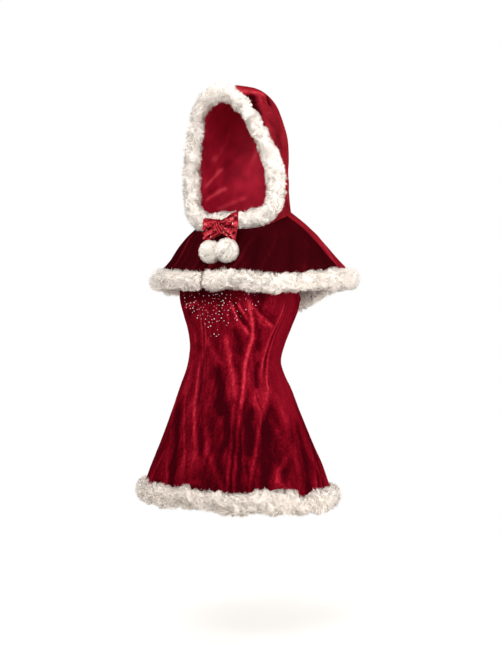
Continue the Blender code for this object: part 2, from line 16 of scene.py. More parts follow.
import bmesh
import bpy
import numpy as np
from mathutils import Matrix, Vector


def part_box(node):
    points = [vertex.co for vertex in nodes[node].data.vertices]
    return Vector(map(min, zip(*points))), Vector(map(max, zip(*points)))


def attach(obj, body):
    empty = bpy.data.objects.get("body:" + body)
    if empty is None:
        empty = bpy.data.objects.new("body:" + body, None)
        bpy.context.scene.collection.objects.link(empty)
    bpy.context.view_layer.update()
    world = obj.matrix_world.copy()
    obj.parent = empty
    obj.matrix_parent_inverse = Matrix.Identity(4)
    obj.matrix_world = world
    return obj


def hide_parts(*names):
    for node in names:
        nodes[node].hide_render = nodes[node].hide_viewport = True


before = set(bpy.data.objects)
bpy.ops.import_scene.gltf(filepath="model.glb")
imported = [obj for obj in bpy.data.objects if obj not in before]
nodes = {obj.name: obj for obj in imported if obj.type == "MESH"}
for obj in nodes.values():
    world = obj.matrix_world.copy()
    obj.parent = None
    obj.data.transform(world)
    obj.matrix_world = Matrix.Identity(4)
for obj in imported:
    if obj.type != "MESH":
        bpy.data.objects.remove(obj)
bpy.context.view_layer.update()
MM = 0.001

# %% [markdown]
# ## Camera
#
# The photograph is a long shot at the height of the waist, taken 36 degrees round to the wearer's
# left. A long lens at four metres keeps the near and the far side of the skirt almost the same size.

# %% Camera
VIEW_AZIMUTH = radians(36)
VIEW_DISTANCE = 4.0
VIEW_ASIDE, VIEW_HEIGHT = 0.0075, -0.28     # what the middle of the picture looks at
PICTURE_TALL = 1.68                         # metres that the picture's height covers there
SENSOR = 36                                 # its height in millimetres


def placed(name, data):
    """An object with this data, put in the scene."""
    made = bpy.data.objects.new(name, data)
    bpy.context.scene.collection.objects.link(made)
    return made


aside = Vector((cos(VIEW_AZIMUTH), sin(VIEW_AZIMUTH), 0))
toward = Vector((sin(VIEW_AZIMUTH), -cos(VIEW_AZIMUTH), 0))
camera = placed("camera", bpy.data.cameras.new("camera"))
camera.location = aside * VIEW_ASIDE + toward * VIEW_DISTANCE + Vector((0, 0, VIEW_HEIGHT))
camera.rotation_euler = (pi / 2, 0, VIEW_AZIMUTH)
camera.data.sensor_fit = "VERTICAL"
camera.data.sensor_height = SENSOR
camera.data.lens = SENSOR * VIEW_DISTANCE / PICTURE_TALL
bpy.context.scene.camera = camera
bpy.context.scene.view_settings.view_transform = "Standard"
print(f"lens {camera.data.lens:.1f} mm")

# %% [markdown]
# ## Helpers for node trees
#
# Colours are written as the hex values that a screen shows, and one function turns them into the
# linear values that Blender's shaders add up. One function adds any node to any tree: its inputs
# are given as values or as the sockets that feed them.

# %% Colours and nodes


def linear(hex_colour):
    """A screen's hex colour as the linear red, green, blue and alpha that a shader takes."""
    parts = [int(hex_colour[start:start + 2], 16) / 255 for start in (1, 3, 5)]
    return [part / 12.92 if part <= 0.04045 else ((part + 0.055) / 1.055) ** 2.4 for part in parts] + [1]


def add(tree, kind, inputs=None, **settings):
    """Add a node, set its properties, and set or link its inputs by name or number."""
    made = tree.nodes.new(kind)
    for name, value in settings.items():
        setattr(made, name, value)
    for key, value in (inputs or {}).items():
        if isinstance(value, bpy.types.NodeSocket):
            tree.links.new(value, made.inputs[key])
        else:
            made.inputs[key].default_value = value
    return made


def new_material(name):
    """An empty material, and its tree to fill."""
    material = bpy.data.materials.new(name)
    material.use_nodes = True
    material.node_tree.nodes.clear()
    return material, material.node_tree


def speckled(name, dark, light, size, inputs):
    """A material whose colour runs from dark to light in specks of the size given, in metres."""
    material, tree = new_material(name)
    spot = add(tree, "ShaderNodeTexCoord").outputs["Object"]
    specks = add(tree, "ShaderNodeTexNoise", {"Vector": spot, "Scale": 1 / size, "Detail": 1.0})
    ramp = add(tree, "ShaderNodeValToRGB", {0: specks.outputs[0]})
    for stop, position, colour in zip(ramp.color_ramp.elements, (0.35, 0.65), (dark, light)):
        stop.position = position
        stop.color = linear(colour)
    shader = add(tree, "ShaderNodeBsdfPrincipled", {"Base Color": ramp.outputs[0], **inputs})
    add(tree, "ShaderNodeOutputMaterial", {"Surface": shader.outputs[0]})
    return material


# %% [markdown]
# ## Floor and light
#
# The set was photographed against plain white. The floor is a pale disc that fades out before its
# edge shows, under a world that is white where the camera sees it and lights the set almost evenly,
# a little more from above. One large soft light stands in front on the left. A low one on the right
# lifts the undersides of the fur, and a third lights the back.

# %% Floor, world and lights
FLOOR_HEIGHT = -1.02
FLOOR_RADIUS, FLOOR_PLAIN = 2.2, 0.5      # the disc, and the part of it that hasn't begun to fade


def from_bmesh(work, name):
    """Make a finished bmesh an object in the scene."""
    mesh = bpy.data.meshes.new(name)
    work.to_mesh(mesh)
    work.free()
    return placed(name, mesh)


work = bmesh.new()
bmesh.ops.create_circle(work, cap_ends=True, segments=96, radius=FLOOR_RADIUS)
bmesh.ops.translate(work, verts=work.verts, vec=(0, 0, FLOOR_HEIGHT))
floor = from_bmesh(work, "floor")

paper, tree = new_material("pale studio paper")
place = add(tree, "ShaderNodeTexCoord").outputs["Object"]
flat_place = add(tree, "ShaderNodeVectorMath", {0: place, 1: (1, 1, 0)}, operation="MULTIPLY")
reach = add(tree, "ShaderNodeVectorMath", {0: flat_place.outputs[0]}, operation="LENGTH")
fade = add(tree, "ShaderNodeMapRange", {"Value": reach.outputs["Value"], "From Min": FLOOR_PLAIN,
                                        "From Max": FLOOR_RADIUS * 0.95}, interpolation_type="SMOOTHSTEP")
matt = add(tree, "ShaderNodeBsdfDiffuse", {"Color": linear("#f4f2ef")})
clear = add(tree, "ShaderNodeBsdfTransparent")
mixed = add(tree, "ShaderNodeMixShader", {0: fade.outputs[0], 1: matt.outputs[0], 2: clear.outputs[0]})
add(tree, "ShaderNodeOutputMaterial", {"Surface": mixed.outputs[0]})
floor.data.materials.append(paper)

world = bpy.data.worlds.new("studio")
world.use_nodes = True
tree = world.node_tree
tree.nodes.clear()
around = add(tree, "ShaderNodeTexCoord").outputs["Generated"]
upward = add(tree, "ShaderNodeSeparateXYZ", {0: around}).outputs["Z"]
strength = add(tree, "ShaderNodeMapRange", {"Value": upward, "From Min": -0.6, "From Max": 0.8,
                                            "To Min": 0.84, "To Max": 1.06}, interpolation_type="SMOOTHSTEP")
lighting = add(tree, "ShaderNodeBackground", {"Color": (1, 0.99, 0.98, 1), "Strength": strength.outputs[0]})
backdrop = add(tree, "ShaderNodeBackground", {"Color": (1, 1, 1, 1), "Strength": 1.0})
seen = add(tree, "ShaderNodeLightPath").outputs["Is Camera Ray"]
mixed = add(tree, "ShaderNodeMixShader", {0: seen, 1: lighting.outputs[0], 2: backdrop.outputs[0]})
add(tree, "ShaderNodeOutputWorld", {"Surface": mixed.outputs[0]})
bpy.context.scene.world = world

SOFT_LIGHTS = [         # name, metres to the camera's right, toward it, up, side, watts
    ("key light", -0.8, 2.9, 2.0, 2.0, 72),
    ("fill light", 1.7, 2.2, -0.4, 1.6, 36),
    ("back light", 1.4, -2.4, 1.6, 1.4, 20),
]
LIT_HEIGHT = -0.25
for name, right, near, up, side, watts in SOFT_LIGHTS:
    light = placed(name, bpy.data.lights.new(name, "AREA"))
    light.data.size = side
    light.data.energy = watts
    light.location = aside * right + toward * near + Vector((0, 0, up))
    aim = Vector((0, 0, LIT_HEIGHT)) - light.location
    light.rotation_euler = aim.to_track_quat("-Z", "Y").to_euler()
print(f"floor of {FLOOR_RADIUS} m radius, {len(SOFT_LIGHTS)} lights")

# %% [markdown]
# ## Velvet
#
# Velvet is a woven ground with a dense pile that stands on end. Looked along, the pile shows its
# lit tips; looked into, it swallows light. Where it has been crushed, each small patch leans its
# own way, so one cloth shows every red from near black to rose. A single bump can't do that, so
# the colour itself follows the lean of the pile: a value on the mesh carries the patches of the
# pile, and also painted highlights along the ridges of the large folds and painted shade in their
# hollows, and two noises carry the streaks and the mottling between them.
#
# Patterns are laid out in metres on each piece's own `cloth` map, so that streaks run down the
# cloth. Pile is 1.5 mm tall, far too fine to show at this distance, and the finest noise stands
# for it at 2.4 mm. Pile throws back no gloss, so the specular level is 0, and a little sheen stands
# for the light that catches in its tips at the edges.

# %% Velvet material
STREAK = (0.010, 0.055)       # width and length of a crushed streak, in metres
MOTTLE = (0.0048, 0.0075)     # the same of a patch of mottling
PILE = 0.0024                 # the same both ways, of the finest noise


def cloth_noise(tree, cells, detail):
    """Noise laid on the cloth map, whose cells have the width and length given; about 0.5."""
    uv = add(tree, "ShaderNodeUVMap", uv_map="cloth").outputs[0]
    scaled = add(tree, "ShaderNodeVectorMath", {0: uv, 1: (1 / cells[0], 1 / cells[1], 1)},
                 operation="MULTIPLY")
    return add(tree, "ShaderNodeTexNoise", {"Vector": scaled.outputs[0], "Scale": 1.0,
                                            "Detail": detail, "Roughness": 0.6}).outputs[0]


def weighted(tree, base, *parts):
    """base plus each part's weight times its distance from 0.5."""
    total = base
    for socket, weight in parts:
        centred = add(tree, "ShaderNodeMath", {0: socket, 1: 0.5}, operation="SUBTRACT")
        total = add(tree, "ShaderNodeMath", {0: centred.outputs[0], 1: weight, 2: total},
                    operation="MULTIPLY_ADD").outputs[0]
    return total


def velvet(name, colours, crush, nap_and_painted_light_weight=0.5, sheen=0.05, glow="#f02834"):
    """Velvet whose five colours run from pile lying away and painted shade to lit pile and painted highlight.
    """
    material, tree = new_material(name)
    streaks = cloth_noise(tree, STREAK, 3)
    mottle = cloth_noise(tree, MOTTLE, 4)
    pile = cloth_noise(tree, (PILE, PILE), 1)
    nap = add(tree, "ShaderNodeAttribute", attribute_name="nap").outputs["Fac"]
    crushed = add(tree, "ShaderNodeAttribute", attribute_name="crushed").outputs["Fac"]
    # The mesh value carries the lean of the pile together with painted highlight and shade of the folds.
    lean_and_painted_light = add(tree, "ShaderNodeMath", {0: nap, 1: nap_and_painted_light_weight, 2: 0.45}, operation="MULTIPLY_ADD")
    patches = weighted(tree, 0.0, (streaks, 0.75 * crush), (mottle, 0.9 * crush))
    lean = add(tree, "ShaderNodeMath", {0: patches, 1: crushed, 2: lean_and_painted_light.outputs[0]},
               operation="MULTIPLY_ADD")
    lean = weighted(tree, lean.outputs[0], (pile, 0.3))
    ramp = add(tree, "ShaderNodeValToRGB", {0: lean})
    stops = ramp.color_ramp.elements
    while len(stops) < len(colours):
        stops.new(0.5)
    for index, colour in enumerate(colours):
        stops[index].position = index / (len(colours) - 1)
        stops[index].color = linear(colour)
    rough = weighted(tree, 0.0, (pile, 1.0), (mottle, 2.0 * crush))
    bump = add(tree, "ShaderNodeBump", {"Height": rough, "Strength": 0.5, "Distance": 0.0008})
    shader = add(tree, "ShaderNodeBsdfPrincipled", {
        "Base Color": ramp.outputs[0], "Roughness": 0.8, "IOR": 1.45, "Specular IOR Level": 0.0,
        "Sheen Weight": sheen, "Sheen Roughness": 0.4, "Sheen Tint": linear(glow),
        "Normal": bump.outputs[0]})
    add(tree, "ShaderNodeOutputMaterial", {"Surface": shader.outputs[0]})
    return material


# %% The five velvets
dress_velvet = velvet("crushed stretch velvet",
                      ["#300208", "#4b030c", "#6a0817", "#8c1524", "#b8303c"], crush=0.9)
# The capelet is one velvet: the fronts' near-black is partly painted shade and the back's bright red partly
# painted highlight.
cape_velvet = velvet("smooth velvet, pile down, painted shade",
                     ["#1c0204", "#2a0307", "#340409", "#540b14", "#7c1a24"], crush=0.3, sheen=0.0)
cape_back_velvet = velvet("smooth velvet, pile up, painted highlight",
                          ["#40060e", "#5c0c16", "#7e1420", "#9a2430", "#b83c46"], crush=0.35)
hood_velvet = velvet("hood velvet, pile up",
                     ["#2c0207", "#560b14", "#76151f", "#90202b", "#bd3c46"], crush=0.5, sheen=0.2)
bow_velvet = velvet("ribbon velvet",
                    ["#240105", "#5e0a14", "#96202b", "#ba3740", "#d86a70"], crush=0.9, sheen=0.2)
velvets = (dress_velvet, cape_velvet, cape_back_velvet, hood_velvet, bow_velvet)
print("velvets:", [velvet_made.name for velvet_made in velvets])

# %% [markdown]
# ## Satin
#
# The hood is lined with satin, a smooth weave whose long floating threads give it a bright soft
# gloss in streaks. A share of metallic gives that gloss. The streaks in its colour are painted
# highlights where a fold turns the threads, with painted shade beside some of them, read from a
# value on the mesh; a slow noise adds broad painted sheen, and a fine noise stretched along the
# threads breaks it up. Real threads are about 0.1 mm wide, too fine to show, so they are drawn
# 1.2 mm wide.

# %% Satin material
SATIN_THREAD = (0.0012, 0.03)       # width and length of a thread, in metres
# The slow noise of soft folds paints broad sheen into the colour.
SATIN_FOLD_SHEEN = (0.05, 0.09)           # the same of a soft fold
satin, tree = new_material("polyester satin lining")
threads = cloth_noise(tree, SATIN_THREAD, 2)
fold_sheen = cloth_noise(tree, SATIN_FOLD_SHEEN, 2)
nap = add(tree, "ShaderNodeAttribute", attribute_name="nap").outputs["Fac"]
lean = add(tree, "ShaderNodeMath", {0: nap, 1: 0.6, 2: 0.4}, operation="MULTIPLY_ADD").outputs[0]
lean = weighted(tree, lean, (threads, 0.12), (fold_sheen, 0.5))
ramp = add(tree, "ShaderNodeValToRGB", {0: lean})
ramp.color_ramp.elements.new(0.5)
# The bright end of the ramp is painted highlight; the dark end is the satin's red deepened by painted shade.
for index, colour in enumerate(("#680818", "#ae1a32", "#e04a58")):
    ramp.color_ramp.elements[index].color = linear(colour)
bump = add(tree, "ShaderNodeBump", {"Height": threads, "Strength": 0.15, "Distance": 0.0003})
shader = add(tree, "ShaderNodeBsdfPrincipled", {
    "Base Color": ramp.outputs[0], "Metallic": 0.3, "Roughness": 0.4, "IOR": 1.5,
    "Specular IOR Level": 0.06, "Normal": bump.outputs[0]})
add(tree, "ShaderNodeOutputMaterial", {"Surface": shader.outputs[0]})
print(f"{satin.name}: {len(tree.nodes)} nodes")

# %% [markdown]
# ## Reading a cloth wall
#
# Each cloth piece of the CAD model is a thin closed wall, a coarse grid of triangles. To shape it
# finely, its outer face is read back as rows of points: the faces are grouped where they turn
# less than 60 degrees, the group that looks outwards is the outer face, and its grid is
# walked from one corner. A smooth curve through every row and column then gives as many points as
# the creases need, and passes through the CAD model's own.

# %% Outer face of a wall as rows of points
SAME_FACE = 0.5         # cosine of the sharpest turn inside one face of a wall


def away_from(heart, place):
    """The way outwards from a heart; a heart without a height is an upright axis."""
    return (place - Vector((heart[0], heart[1], place.z if heart[2] is None else heart[2]))).normalized()


def outer_faces(work, heart):
    """The group of faces of a wall that looks away from the heart."""
    groups, left = [], set(work.faces)
    while left:
        group, front = [], [left.pop()]
        while front:
            face = front.pop()
            group.append(face)
            for other in {other for edge in face.edges for other in edge.link_faces}:
                if other in left and face.normal.dot(other.normal) > SAME_FACE:
                    left.discard(other)
                    front.append(other)
        groups.append(group)

    def facing(group):
        return sum(face.calc_area() * face.normal.dot(away_from(heart, face.calc_center_median()))
                   for face in group)
    return max(groups, key=facing)


def wall_rows(name, heart):
    """The outer face as an array of rows from low to high, with columns to the right from outside."""
    work = bmesh.new()
    work.from_mesh(nodes[name].data)
    bmesh.ops.remove_doubles(work, verts=work.verts, dist=1e-6)
    faces = outer_faces(work, heart)
    uses = Counter(vert for face in faces for vert in face.verts)
    edges = Counter(edge for face in faces for edge in face.edges)
    beside, rim = {}, {}
    for edge, count in edges.items():
        for vert in edge.verts:
            beside.setdefault(vert, set()).add(edge.other_vert(vert))
            if count == 1:
                rim.setdefault(vert, []).append(edge.other_vert(vert))

    def side(corner, second):
        line = [corner, second]
        while uses[line[-1]] > 2:
            line.append(next(vert for vert in rim[line[-1]] if vert is not line[-2]))
        return line

    corner = next(vert for vert in rim if uses[vert] <= 2)
    first_row, first_column = (side(corner, second) for second in rim[corner])
    rows = [first_row]
    done = set(first_row) | set(first_column)
    for vert in first_column[1:]:
        row = [vert]
        for below in rows[-1][1:]:
            found = next(vert for vert in beside[below] & beside[row[-1]] if vert not in done)
            row.append(found)
            done.add(found)
        rows.append(row)
    points = np.array([[vert.co[:] for vert in row] for row in rows])
    work.free()

    level = points[..., 2]
    if abs(level[0].mean() - level[-1].mean()) < abs(level[:, 0].mean() - level[:, -1].mean()):
        points = points.transpose(1, 0, 2)
    if points[0, :, 2].mean() > points[-1, :, 2].mean():
        points = points[::-1]
    middle = points.shape[0] // 2, points.shape[1] // 2
    if Vector(normals_of(points)[middle]).dot(away_from(heart, Vector(points[middle]))) < 0:
        points = points[:, ::-1]
    return points


def normals_of(points):
    """Unit normals of a grid of points, to the side from which its columns run to the right."""
    rising, along = np.gradient(points, axis=(0, 1))
    normal = np.cross(along, rising)
    return normal / np.linalg.norm(normal, axis=2, keepdims=True)


def curve_weights(count, samples):
    """Weights that take evenly spaced samples of a smooth curve through count points."""
    weights = np.zeros((samples, count))
    for row, place in enumerate(np.linspace(0, count - 1, samples)):
        first = min(int(place), count - 2)
        t = place - first
        shares = ((-t + 2 * t ** 2 - t ** 3) / 2, (2 - 5 * t ** 2 + 3 * t ** 3) / 2,
                  (t + 4 * t ** 2 - 3 * t ** 3) / 2, (t ** 3 - t ** 2) / 2)
        for index, share in zip(range(first - 1, first + 3), shares):
            if index < 0:
                weights[row, 0] += 2 * share
                weights[row, 1] -= share
            elif index >= count:
                weights[row, -1] += 2 * share
                weights[row, -2] -= share
            else:
                weights[row, index] += share
    return weights


def refined(points, rows, columns):
    """The same grid with as many rows and columns as asked, on smooth curves through its points."""
    up, across = curve_weights(points.shape[0], rows), curve_weights(points.shape[1], columns)
    return np.einsum("ri,cj,ijk->rck", up, across, points)


# %% [markdown]
# ## Creases
#
# Cloth that is fitted or flared doesn't lie smooth: it pulls into folds under the bust, stands in
# ridges down the skirt and sinks beside each seam. On this velvet a fold is seen twice, as a ridge
# that the light models and as painted colour: a highlight along a ridge and shade along a hollow.
# So each crease is one listed line with a width, a height and a change of painted light, and it
# fades out at both ends. The lines are bent a little by two slow waves, because no real crease is straight.
#
# The noise helper gives every square of a plane its own value and blends between them. With a
# fixed seed it gives the same cloth each time.

# %% Crease helpers
PATCH_TABLE = 64        # squares before the values of the noise come round again
END_FADE = 0.16         # share of a line over which it fades at each end
FLANK_AWAY, FLANK_WIDE = 1.8, 1.2       # how far off the dark flank lies and its width, in line widths
WAVES = [               # height of a slow wave, and millimetres up and across to a radian of it
    (1.5, 19, 60),
    (0.9, 7.7, 23),
]


def patchy(across, up, seed):
    """Soft random values from -1 to 1, a new one in each unit square."""
    table = np.random.default_rng(seed).uniform(-1, 1, (PATCH_TABLE, PATCH_TABLE))
    column, row = np.floor(across).astype(int), np.floor(up).astype(int)
    share_x, share_y = across - column, up - row
    share_x, share_y = share_x ** 2 * (3 - 2 * share_x), share_y ** 2 * (3 - 2 * share_y)

    def value(right, above):
        return table[(row + above) % PATCH_TABLE, (column + right) % PATCH_TABLE]
    low = value(0, 0) * (1 - share_x) + value(1, 0) * share_x
    high = value(0, 1) * (1 - share_x) + value(1, 1) * share_x
    return low * (1 - share_y) + high * share_y


def crease_lines(place, lines, scale=1.0, flank_share=0.0):
    """Height and painted light that the listed lines give each point of a cloth.

    place holds the points in the lines' own coordinates, and scale turns a difference of the first
    coordinate into millimetres. A line is (points, width, height, nap): its last value is a painted
    highlight where bright and painted shade where dark. The right flank of a bright line gets painted
    shade of flank_share of its brightness.
    """
    height, lit, shaded = (np.zeros(place.shape[:-1]) for _ in range(3))
    for points, width, rise, change in lines:
        points = np.array(points, float)
        steps = np.linalg.norm(np.diff(points, axis=0), axis=1)
        whole, start = steps.sum(), 0
        nearest = np.full(place.shape[:-1], np.inf)
        along, right = np.zeros(place.shape[:-1]), np.zeros(place.shape[:-1])
        for near, far, step in zip(points, points[1:], steps):
            offset, way = place - near, np.broadcast_to(far - near, place.shape).copy()
            offset[..., 0] *= scale
            way[..., 0] *= scale
            share = np.clip((offset * way).sum(-1) / (way ** 2).sum(-1), 0, 1)
            distance = np.linalg.norm(offset - way * share[..., None], axis=-1)
            closer = distance < nearest
            nearest = np.where(closer, distance, nearest)
            along = np.where(closer, (start + share * step) / whole, along)
            turned = offset[..., 0] * way[..., 1] - offset[..., 1] * way[..., 0]
            right = np.where(closer, np.sign(turned * way[..., 1]), right)
            start += step
        ends = np.clip(np.minimum(along, 1 - along) / END_FADE, 0, 1)
        faded = ends ** 2 * (3 - 2 * ends)
        weight = np.exp(-(nearest / width) ** 2) * faded
        height += rise * weight
        lit = np.maximum(lit, change * weight)
        shaded = np.minimum(shaded, change * weight)
        # A bright line gets painted shade on its right flank.
        if change > 0:
            off_flank = (right * nearest - FLANK_AWAY * width) / (FLANK_WIDE * width)
            flank = np.exp(-off_flank ** 2) * faded
            shaded = np.minimum(shaded, -flank_share * change * flank)
    return height, lit + shaded


def wavering(millimetres, up, size=1.0):
    """How far to shift the look-up of a line sideways, in millimetres."""
    return size * sum(high * np.sin(up / tall + millimetres / wide) for high, tall, wide in WAVES)


# %% [markdown]
# ## From points to a finished piece of cloth
#
# A finished piece is a closed wall: the shaped face, the same face again one thickness inside, and
# four rims. Along a seam the cloth turns in, so the last few millimetres sink and the seam shows
# as a groove, and the edge is drawn out a little, so that no light comes through. Every piece gets
# the `cloth` map, in metres along and across it, and a value for the lean of its pile with painted light.
#
# Where the real piece hangs a little higher, lower or further in than the CAD model's, pulls move
# the points near a place. The cloth beside a fur band is pulled with it, so no gap opens.

# %% Pulls
HOOD_PULLS = [          # place, reach, move
    ((-75, -95, 262), 52, (-8, -5, 2)),
    ((-12, -102, 338), 34, (-4, -2, 7)),
    ((62, -62, 300), 30, (-9, -6, -2)),
    ((50, -80, 314), 24, (-11, -8, -2)),
    ((72, -76, 294), 24, (-10, -7, 0)),
    ((94, -66, 262), 24, (-6, -3, 0)),
    ((124, -30, 172), 30, (-6, -4, 0)),
]
PULLS = {               # band or part, and the pulls on it and on the cloth beside it
    "hood_fur_band": HOOD_PULLS,
    "bow_loop": [
        ((74, -133, -50), 20, (-9, 0, -3)),
        ((76, -133, -14), 18, (5, 0, 0)),
        ((74, -133, 20), 14, (-2, 0, -3)),
        ((-39, -133, 4), 14, (7, 0, 0)),
        ((-39, -133, -50), 16, (8, 0, 0)),
    ],
    "dress_fur_hem": [
        ((205, -154, -655), 28, (0, 0, 13)),
        ((228, -93, -655), 26, (2, 0, -11)),
        ((86, -240, -652), 24, (0, 0, -3)),
        ((188, 137, -675), 40, (-6, -4, 0)),
        ((50, -268, -700), 50, (0, 0, 5)),
        ((123, -240, -705), 34, (0, 0, -6)),
        ((-60, -262, -655), 30, (0, 0, 5)),
        ((-150, -190, -655), 40, (0, 0, -5)),
        ((-60, 190, -655), 40, (0, 0, 6)),
        ((120, 140, -655), 36, (0, 0, -5)),
    ],
    "cape_fur_hem": [
        ((190, -110, -135), 60, (0, 0, -5)),
        ((90, -190, -135), 30, (0, 0, 3)),
        ((-120, 170, -160), 40, (0, 0, 5)),
    ],
}


def pulled(points, pulls):
    """Move points near each place by its move, less and less out to about its reach."""
    for place, reach, move in pulls:
        away = np.linalg.norm(points / MM - place, axis=-1) / reach
        points = points + np.exp(-away ** 2)[..., None] * np.array(move) * MM
    return points


# %% Cloth wall
VELVET_WALL, SATIN_WALL = 1.6, 1.0
SEAM_SINK, SEAM_REACH, SEAM_CLOSED = 1.1, 5.0, 0.3
NECK_CALM = 14          # how far from the seam at the neck the folds die away
cut_sizes = {}
made_pieces = {}


def lengths(points, axis):
    """Distance along a grid's rows or columns, measured from their middle."""
    steps = np.linalg.norm(np.diff(points, axis=axis), axis=2)
    start = np.zeros_like(np.take(steps, [0], axis=axis))
    along = np.concatenate([start, np.cumsum(steps, axis=axis)], axis=axis)
    return along - np.take(along, [along.shape[axis] // 2], axis=axis)


def nearness(points, seams, reach):
    """1 on the edges named in seams (left, right, top, bottom), down to 0 at reach from them."""
    across, up = lengths(points, 1), lengths(points, 0)
    away = {"left": across - across[:, :1], "right": across[:, -1:] - across,
            "bottom": up - up[:1], "top": up[-1:] - up}
    near = np.zeros(points.shape[:2])
    for seam in seams:
        near = np.maximum(near, np.clip(1 - away[seam] / (reach * MM), 0, 1))
    return near


def seam_grooves(points, seams):
    """How far the cloth sinks beside its seams."""
    return SEAM_SINK * nearness(points, seams, SEAM_REACH) ** 2


def raised(points, height):
    """The points of a grid, moved out along its normals by a height in millimetres."""
    return points + normals_of(points) * (height * MM)[..., None]


def closed_up(points, seams):
    """The same points, drawn out a little at the seams so that no light comes through."""
    points = points.copy()
    edges = {"left": ((slice(None), 0), (slice(None), 1)), "right": ((slice(None), -1), (slice(None), -2)),
             "bottom": (0, 1), "top": (-1, -2)}
    for seam in seams:
        end, beside = edges[seam]
        way = points[end] - points[beside]
        points[end] += way / np.linalg.norm(way, axis=-1, keepdims=True) * SEAM_CLOSED * MM
    return points


def grid_faces(count_up, count_across, first):
    """The quads of a grid whose points are numbered from first, and those numbers."""
    index = first + np.arange(count_up * count_across).reshape(count_up, count_across)
    corners = (index[:-1, :-1], index[:-1, 1:], index[1:, 1:], index[1:, :-1])
    return np.stack([corner.ravel() for corner in corners], axis=1), index


def cloth_wall(name, points, nap, thickness, material, shift=0.0, crushed=1.0):
    """Make the wall of a grid of outer points, with its cloth map, its pile lean and painted light, and how
    crushed it is.
    """
    normal = normals_of(points)
    inner = points - normal * thickness * MM
    count_up, count_across = points.shape[:2]
    outer_quads, out = grid_faces(count_up, count_across, 0)
    inner_quads, ins = grid_faces(count_up, count_across, count_up * count_across)
    strips = [outer_quads, inner_quads[:, ::-1]]
    for edge_out, edge_in in ((out[0, ::-1], ins[0, ::-1]), (out[-1], ins[-1]),
                              (out[:, 0], ins[:, 0]), (out[::-1, -1], ins[::-1, -1])):
        strips.append(np.stack([edge_out[:-1], edge_out[1:], edge_in[1:], edge_in[:-1]], axis=1))
    quads = np.concatenate(strips)
    mesh = bpy.data.meshes.new(name)
    both = np.concatenate([points.reshape(-1, 3), inner.reshape(-1, 3)])
    mesh.from_pydata(both.tolist(), [], quads.tolist())
    uv = np.stack([lengths(points, 1) + shift, lengths(points, 0)], axis=2).reshape(-1, 2)
    uv = np.concatenate([uv, uv])
    corner_verts = np.zeros(len(mesh.loops), int)
    mesh.loops.foreach_get("vertex_index", corner_verts)
    mesh.uv_layers.new(name="cloth").data.foreach_set("uv", uv[corner_verts].ravel())
    # The first value carries the lean of the pile together with painted highlight and shade.
    for label, values in (("nap", np.clip(nap, -1, 1)), ("crushed", np.broadcast_to(crushed, nap.shape))):
        both_sides = np.concatenate([values.ravel(), values.ravel()])
        mesh.attributes.new(label, "FLOAT", "POINT").data.foreach_set("value", both_sides)
    mesh.materials.append(material)
    mesh.shade_smooth()
    mesh.set_sharp_from_angle(angle=radians(70))
    return placed(name, mesh)


def dress_in(piece, node, points=None):
    """Put a piece in a CAD node's place; a sheet also keeps the size of its cut."""
    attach(piece, "root")
    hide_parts(node)
    made_pieces[node] = piece
    print(f"{node}: {sum(len(face.vertices) - 2 for face in piece.data.polygons)} triangles")
    if points is not None:
        wide = np.ptp(lengths(points, 1), axis=1)
        tall = np.ptp(lengths(points, 0), axis=0)
        area = float(np.linalg.norm(np.cross(*np.gradient(points, axis=(0, 1))), axis=2)[:-1, :-1].sum())
        cut_sizes[node] = (float(wide.max()), float(tall.max()), area)


# %% Node trees with named inputs, evaluated to plain meshes

def new_tree(name, start, inputs):
    """A geometry node tree, the identifiers of its named inputs, and the sockets that give them."""
    tree = bpy.data.node_groups.new(name, "GeometryNodeTree")
    tree.interface.new_socket(start, in_out="INPUT", socket_type="NodeSocketGeometry")
    identifiers = {}
    for label, kind in inputs.items():
        made = tree.interface.new_socket(label, in_out="INPUT", socket_type="NodeSocket" + kind)
        identifiers[label] = made.identifier
    tree.interface.new_socket("Geometry", in_out="OUTPUT", socket_type="NodeSocketGeometry")
    return tree, identifiers, add(tree, "NodeGroupInput").outputs


def with_tree(start, tree, identifiers, values, name):
    """Evaluate a geometry node tree on an object and return the result as a plain mesh object."""
    modifier = start.modifiers.new("tree", "NODES")
    modifier.node_group = tree
    for key, value in values.items():
        modifier[identifiers[key]] = value
    start.update_tag()
    bpy.context.view_layer.update()
    evaluated = start.evaluated_get(bpy.context.evaluated_depsgraph_get())
    mesh = bpy.data.meshes.new_from_object(evaluated)
    bpy.data.objects.remove(start)
    mesh.name = name
    return placed(name, mesh)
